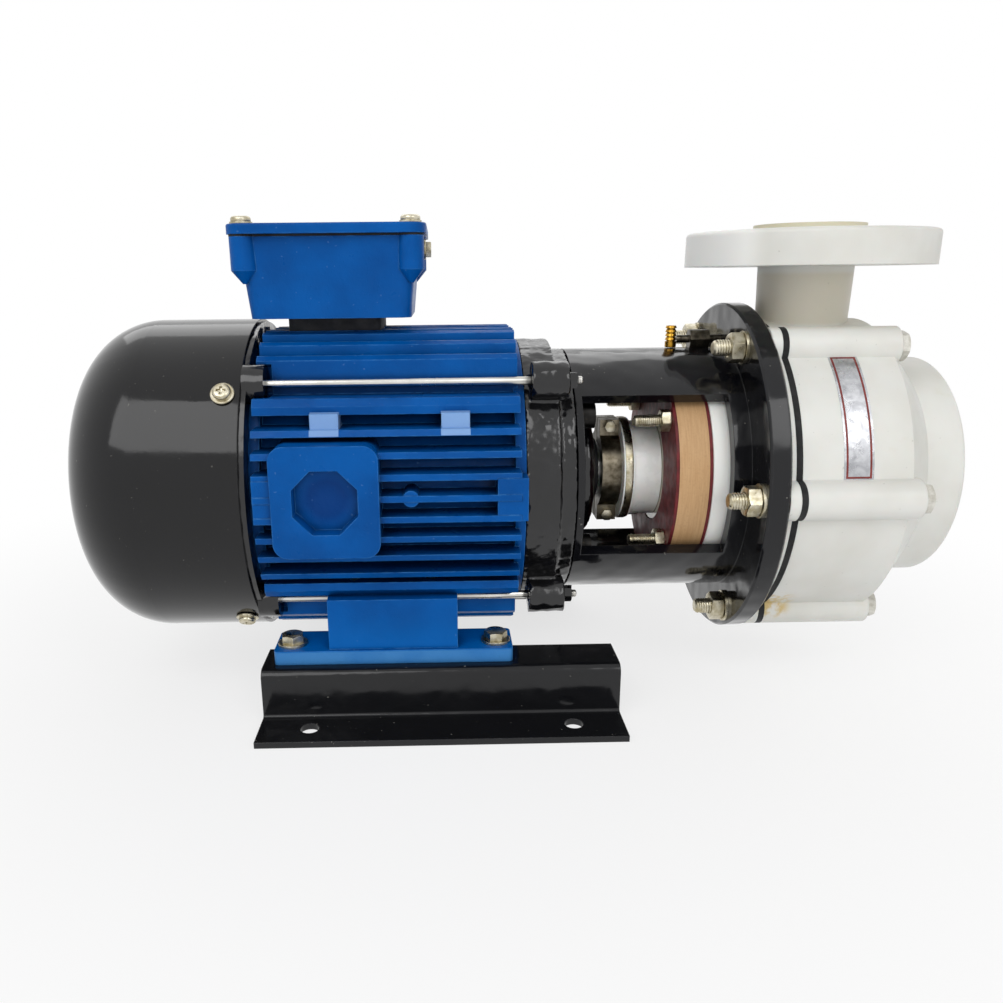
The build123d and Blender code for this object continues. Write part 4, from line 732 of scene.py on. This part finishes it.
BOX_X = middle("terminal_box_lid").x
LID_TOP = high("terminal_box_lid").z
LID_SCREW = 77.5 / 2 * MM
lid_screw_low = low("lid_screws").z
lid_screws = bmesh.new()
for x in (-LID_SCREW, LID_SCREW):
    for y in (-LID_SCREW, LID_SCREW):
        place = along((BOX_X + x, y, 0), (0, 0, 1))
        lathe(lid_screws, place, (
            (lid_screw_low, 0), (lid_screw_low, 2.5 * MM), (LID_TOP, 2.5 * MM), (LID_TOP, 0),
        ))
        lathe(lid_screws, place, (
            (LID_TOP, 0), (LID_TOP, 5.2 * MM), (LID_TOP + 0.8 * MM, 5.2 * MM),
            (LID_TOP + 0.8 * MM, 0),
        ))
        pan_head(lid_screws, place, LID_TOP + 0.8 * MM, 4.6 * MM, 2.6 * MM)
piece("lid_screws_cut", lid_screws, zinc, "pump_body",
      replaced=("lid_screws",))

# Earth screw on the terminal box, under the lid on the pump side
earth = bmesh.new()
box_side_x = high("terminal_box").x
earth_place = along((box_side_x - 0.6 * MM, -22 * MM, high("terminal_box").z - 6 * MM), (1, 0, 0))
lathe(earth, earth_place, (
    (0, 0), (0, 4.4 * MM), (0.7 * MM, 4.6 * MM), (1.2 * MM, 4.3 * MM), (1.2 * MM, 0),
))
hexagon(earth, earth_place, 7 * MM, 1.2 * MM, 3.8 * MM, both=False)
piece("earth_screw", earth, zinc, "pump_body")

# Brass hose nipple with its barbs
NIPPLE_RADIUS = 2.9 * MM
NIPPLE_BORE = 1.6 * MM
nipple = bmesh.new()
nipple_mid = middle("flush_nipple")
nipple_low = low("flush_nipple").z
nipple_top = high("flush_nipple").z
barbs = 4
barb_height = (nipple_top - nipple_low - 3 * MM) / barbs
outline = [(nipple_low, NIPPLE_BORE), (nipple_low, NIPPLE_RADIUS - 0.3 * MM),
           (nipple_low + 0.3 * MM, NIPPLE_RADIUS), (nipple_low + 3 * MM, NIPPLE_RADIUS)]
for k in range(barbs):
    foot = nipple_low + 3 * MM + k * barb_height
    outline += [
        (foot + 0.15 * MM, NIPPLE_RADIUS - 0.75 * MM),
        (foot + 0.35 * barb_height, NIPPLE_RADIUS - 0.75 * MM),
        (foot + 0.4 * barb_height, NIPPLE_RADIUS),
        (foot + barb_height, NIPPLE_RADIUS - 0.45 * MM),
    ]
outline += [(nipple_top, NIPPLE_BORE + 0.2 * MM), (nipple_top - 0.2 * MM, NIPPLE_BORE)]
lathe(nipple, along((nipple_mid.x, nipple_mid.y, 0), (0, 0, 1)), outline, closed=True)
piece("flush_nipple_cut", nipple, finishes["brass"], "pump_body",
      replaced=("flush_nipple",))

# Foil strip with a plain border on the near side of the drum
DRUM_RADIUS = 77.5 * MM
STRIP_START = CASING_X + 18.8 * MM
STRIP_END = CASING_X + 32.6 * MM
STRIP_LOW = math.radians(6.7)
STRIP_HIGH = math.radians(53.5)


def curved_plate(mesh, x_start, x_end, low_turn, high_turn, foot, top, steps):
    """A thin slab that lies round the drum, between two stations and two angles."""
    rings = []
    for i in range(steps + 1):
        turn = low_turn + (high_turn - low_turn) * i / steps
        out = Vector((0, -math.cos(turn), math.sin(turn)))
        rings.append([
            Vector((x, 0, SHAFT_Z)) + r * out
            for x, r in ((x_start, foot), (x_start, top), (x_end, top), (x_end, foot))
        ])
    ringed(mesh, rings)
    mesh.verts.ensure_lookup_table()
    first = len(mesh.verts) - 4 * (steps + 1)
    mesh.faces.new([mesh.verts[first + i] for i in range(4)])
    mesh.faces.new([mesh.verts[len(mesh.verts) - 1 - i] for i in range(4)])


strip = bmesh.new()
curved_plate(strip, STRIP_START, STRIP_END, STRIP_LOW, STRIP_HIGH,
             DRUM_RADIUS - 0.3 * MM, DRUM_RADIUS + 0.15 * MM, 60)
piece("foil_strip", strip, foil(), "pump_body")
border = bmesh.new()
border_width = 0.9 * MM
border_turn = border_width / DRUM_RADIUS
border_top = DRUM_RADIUS + 0.22 * MM
for start, end in (
    (STRIP_START + MM, STRIP_START + MM + border_width),
    (STRIP_END - MM - border_width, STRIP_END - MM),
):
    curved_plate(border, start, end, STRIP_LOW + border_turn, STRIP_HIGH - border_turn,
                 DRUM_RADIUS, border_top, 60)
for turn in (STRIP_LOW + border_turn, STRIP_HIGH - 2 * border_turn):
    curved_plate(border, STRIP_START + 1.9 * MM, STRIP_END - 1.9 * MM, turn, turn + border_turn,
                 DRUM_RADIUS, border_top, 4)
piece("foil_border", border, rubber("border_print", "8a3a34", "6f2b28", (0.3, 0.45)),
      "pump_body")

# Steel band round the bellows
band = bmesh.new()
bellows_low = low("seal_bellows").x
BAND_RADIUS = 27.0 * MM
band_place = along((0, 0, SHAFT_Z), (1, 0, 0))
lathe(band, band_place, (
    (bellows_low + 0.8 * MM, BAND_RADIUS - 0.4 * MM),
    (bellows_low + 0.8 * MM, BAND_RADIUS + 0.25 * MM),
    (bellows_low + 1.2 * MM, BAND_RADIUS + 0.45 * MM),
    (bellows_low + 4.3 * MM, BAND_RADIUS + 0.45 * MM),
    (bellows_low + 4.7 * MM, BAND_RADIUS + 0.25 * MM),
    (bellows_low + 4.7 * MM, BAND_RADIUS - 0.4 * MM),
), steps=96, closed=True)
piece("bellows_band", band, zinc, "rotor")

# Hexagon-headed screws through the ears of the seal's split clamp
CLAMP_SCREW_Z = 24 * MM
CLAMP_SCREW_RADIUS = 1.8 * MM
clamp_screw_x = middle("clamp_screws").x
clamp_head_top = -low("clamp_screws").y
clamp_head_foot = clamp_head_top - 3.2 * MM
clamp_screws = bmesh.new()
for z in (-CLAMP_SCREW_Z, CLAMP_SCREW_Z):
    place = along((clamp_screw_x, 0, SHAFT_Z + z), (0, -1, 0))
    lathe(clamp_screws, place, (
        (-high("clamp_screws").y, 0), (-high("clamp_screws").y, CLAMP_SCREW_RADIUS),
        (clamp_head_foot, CLAMP_SCREW_RADIUS), (clamp_head_foot, 0),
    ))
    hexagon(clamp_screws, place, 5.6 * MM, clamp_head_foot, clamp_head_top, both=False)
piece("clamp_screws_cut", clamp_screws, zinc, "rotor",
      replaced=("clamp_screws",))

# Cast skin: the drive end shield as a thick, lumpy, rounded form
skin = bpy.data.textures.new("cast_lumps", "CLOUDS")
skin.noise_scale = 0.008
skin.noise_depth = 2
shell = nodes["drive_endshield"]
remesh = shell.modifiers.new("rounded", "REMESH")
remesh.mode = "VOXEL"
remesh.voxel_size = 1.0 * MM
remesh.use_smooth_shade = True
swell = shell.modifiers.new("lumps", "DISPLACE")
swell.texture = skin
swell.texture_coords = "LOCAL"
swell.strength = 1.3 * MM
swell.mid_level = 0.62

# Floor, light and background
floor_mesh = bmesh.new()
bmesh.ops.create_circle(floor_mesh, cap_ends=True, segments=96, radius=6.0)
floor_data = bpy.data.meshes.new("floor")
floor_mesh.to_mesh(floor_data)
floor_mesh.free()
floor = bpy.data.objects.new("floor", floor_data)
bpy.context.scene.collection.objects.link(floor)
floor.location = (0, 0, -0.0002)
ground = Finish("pale_floor", Roughness=0.9, Specular_IOR_Level=0.1)
ground.colour(ground.mix(ground.grain(0.4), "fafafa", "f6f6f6"))
paper = ground.add("Emission", Color=(1, 1, 1, 1), Strength=1.0)
paths = ground.add("LightPath")
spread = ground.add("VectorMath", {0: ground.place}, operation="LENGTH")
fade = ground.steps(spread.outputs["Value"], 0.15, 0.5, 0.72, 1.0)
seen = ground.math("MULTIPLY", paths.outputs["Is Camera Ray"], fade)
seen = ground.math("MAXIMUM", seen, paths.outputs["Is Glossy Ray"])
seen = ground.math("MAXIMUM", seen, paths.outputs["Is Transmission Ray"])
blend = ground.add("MixShader", {
    0: seen, 1: ground.shader.outputs["BSDF"], 2: paper.outputs["Emission"],
})
ground.tree.links.new(
    blend.outputs["Shader"], ground.tree.nodes["Material Output"].inputs["Surface"])
floor_data.materials.append(ground.material)

world = bpy.data.worlds.new("studio")
bpy.context.scene.world = world
world.use_nodes = True
sky = world.node_tree
background = sky.nodes["Background"]
background.inputs["Color"].default_value = (1, 1, 1, 1)
ray = sky.nodes.new("ShaderNodeLightPath")
plain = sky.nodes.new("ShaderNodeMath")
plain.operation = "MAXIMUM"
sky.links.new(ray.outputs["Is Camera Ray"], plain.inputs[0])
sky.links.new(ray.outputs["Is Glossy Ray"], plain.inputs[1])
clear = sky.nodes.new("ShaderNodeMath")
clear.operation = "MAXIMUM"
sky.links.new(plain.outputs[0], clear.inputs[0])
sky.links.new(ray.outputs["Is Transmission Ray"], clear.inputs[1])
level = sky.nodes.new("ShaderNodeMapRange")
level.inputs["To Min"].default_value = 0.42
level.inputs["To Max"].default_value = 1.0
sky.links.new(clear.outputs[0], level.inputs["Value"])
sky.links.new(level.outputs["Result"], background.inputs["Strength"])


def softbox(name, place, target, size, power, glossy=True):
    """A rectangular lamp aimed at a point, which gloss may show or not."""
    lamp = bpy.data.lights.new(name, "AREA")
    lamp.shape = "RECTANGLE"
    lamp.size, lamp.size_y = size
    lamp.energy = power
    made = bpy.data.objects.new(name, lamp)
    made.location = place
    made.rotation_euler = (Vector(target) - Vector(place)).to_track_quat("-Z", "Y").to_euler()
    made.visible_camera = False
    made.visible_glossy = glossy
    bpy.context.scene.collection.objects.link(made)


object_middle = (0.04, 0, 0.11)
softbox("window_left", (-0.62, -1.08, 1.2), object_middle, (1.1, 0.95), 8.5)
softbox("window_right", (0.7, -1.15, 1.1), object_middle, (0.5, 0.8), 3.5)
softbox("window_behind", (0.0, 1.15, 1.07), object_middle, (2.0, 0.6), 4)
softbox("front_fill", (0.25, -1.5, 0.45), object_middle, (0.7, 0.5), 4, glossy=False)

# Camera at the photograph's viewing angle
CAMERA_PLACE = (0.0009, -0.4547, 0.2074)
YAW, PITCH, ROLL = 0.0157, 0.279, -0.0106
forward = Vector((math.sin(YAW) * math.cos(PITCH), math.cos(YAW) * math.cos(PITCH),
                  -math.sin(PITCH)))
level_right = Vector((math.cos(YAW), -math.sin(YAW), 0))
level_up = level_right.cross(forward)
right = math.cos(ROLL) * level_right + math.sin(ROLL) * level_up
up = -math.sin(ROLL) * level_right + math.cos(ROLL) * level_up
camera_data = bpy.data.cameras.new("camera")
camera_data.sensor_width = 36
camera_data.lens = 30.77
camera_data.shift_x = 0.0474
camera_data.shift_y = 0.0207
camera_data.clip_start = 0.01
camera = bpy.data.objects.new("camera", camera_data)
facing = Matrix((right, up, -forward)).transposed().to_4x4()
camera.matrix_world = Matrix.Translation(CAMERA_PLACE) @ facing
bpy.context.scene.collection.objects.link(camera)
bpy.context.scene.camera = camera

bpy.context.scene.view_settings.view_transform = "Standard"
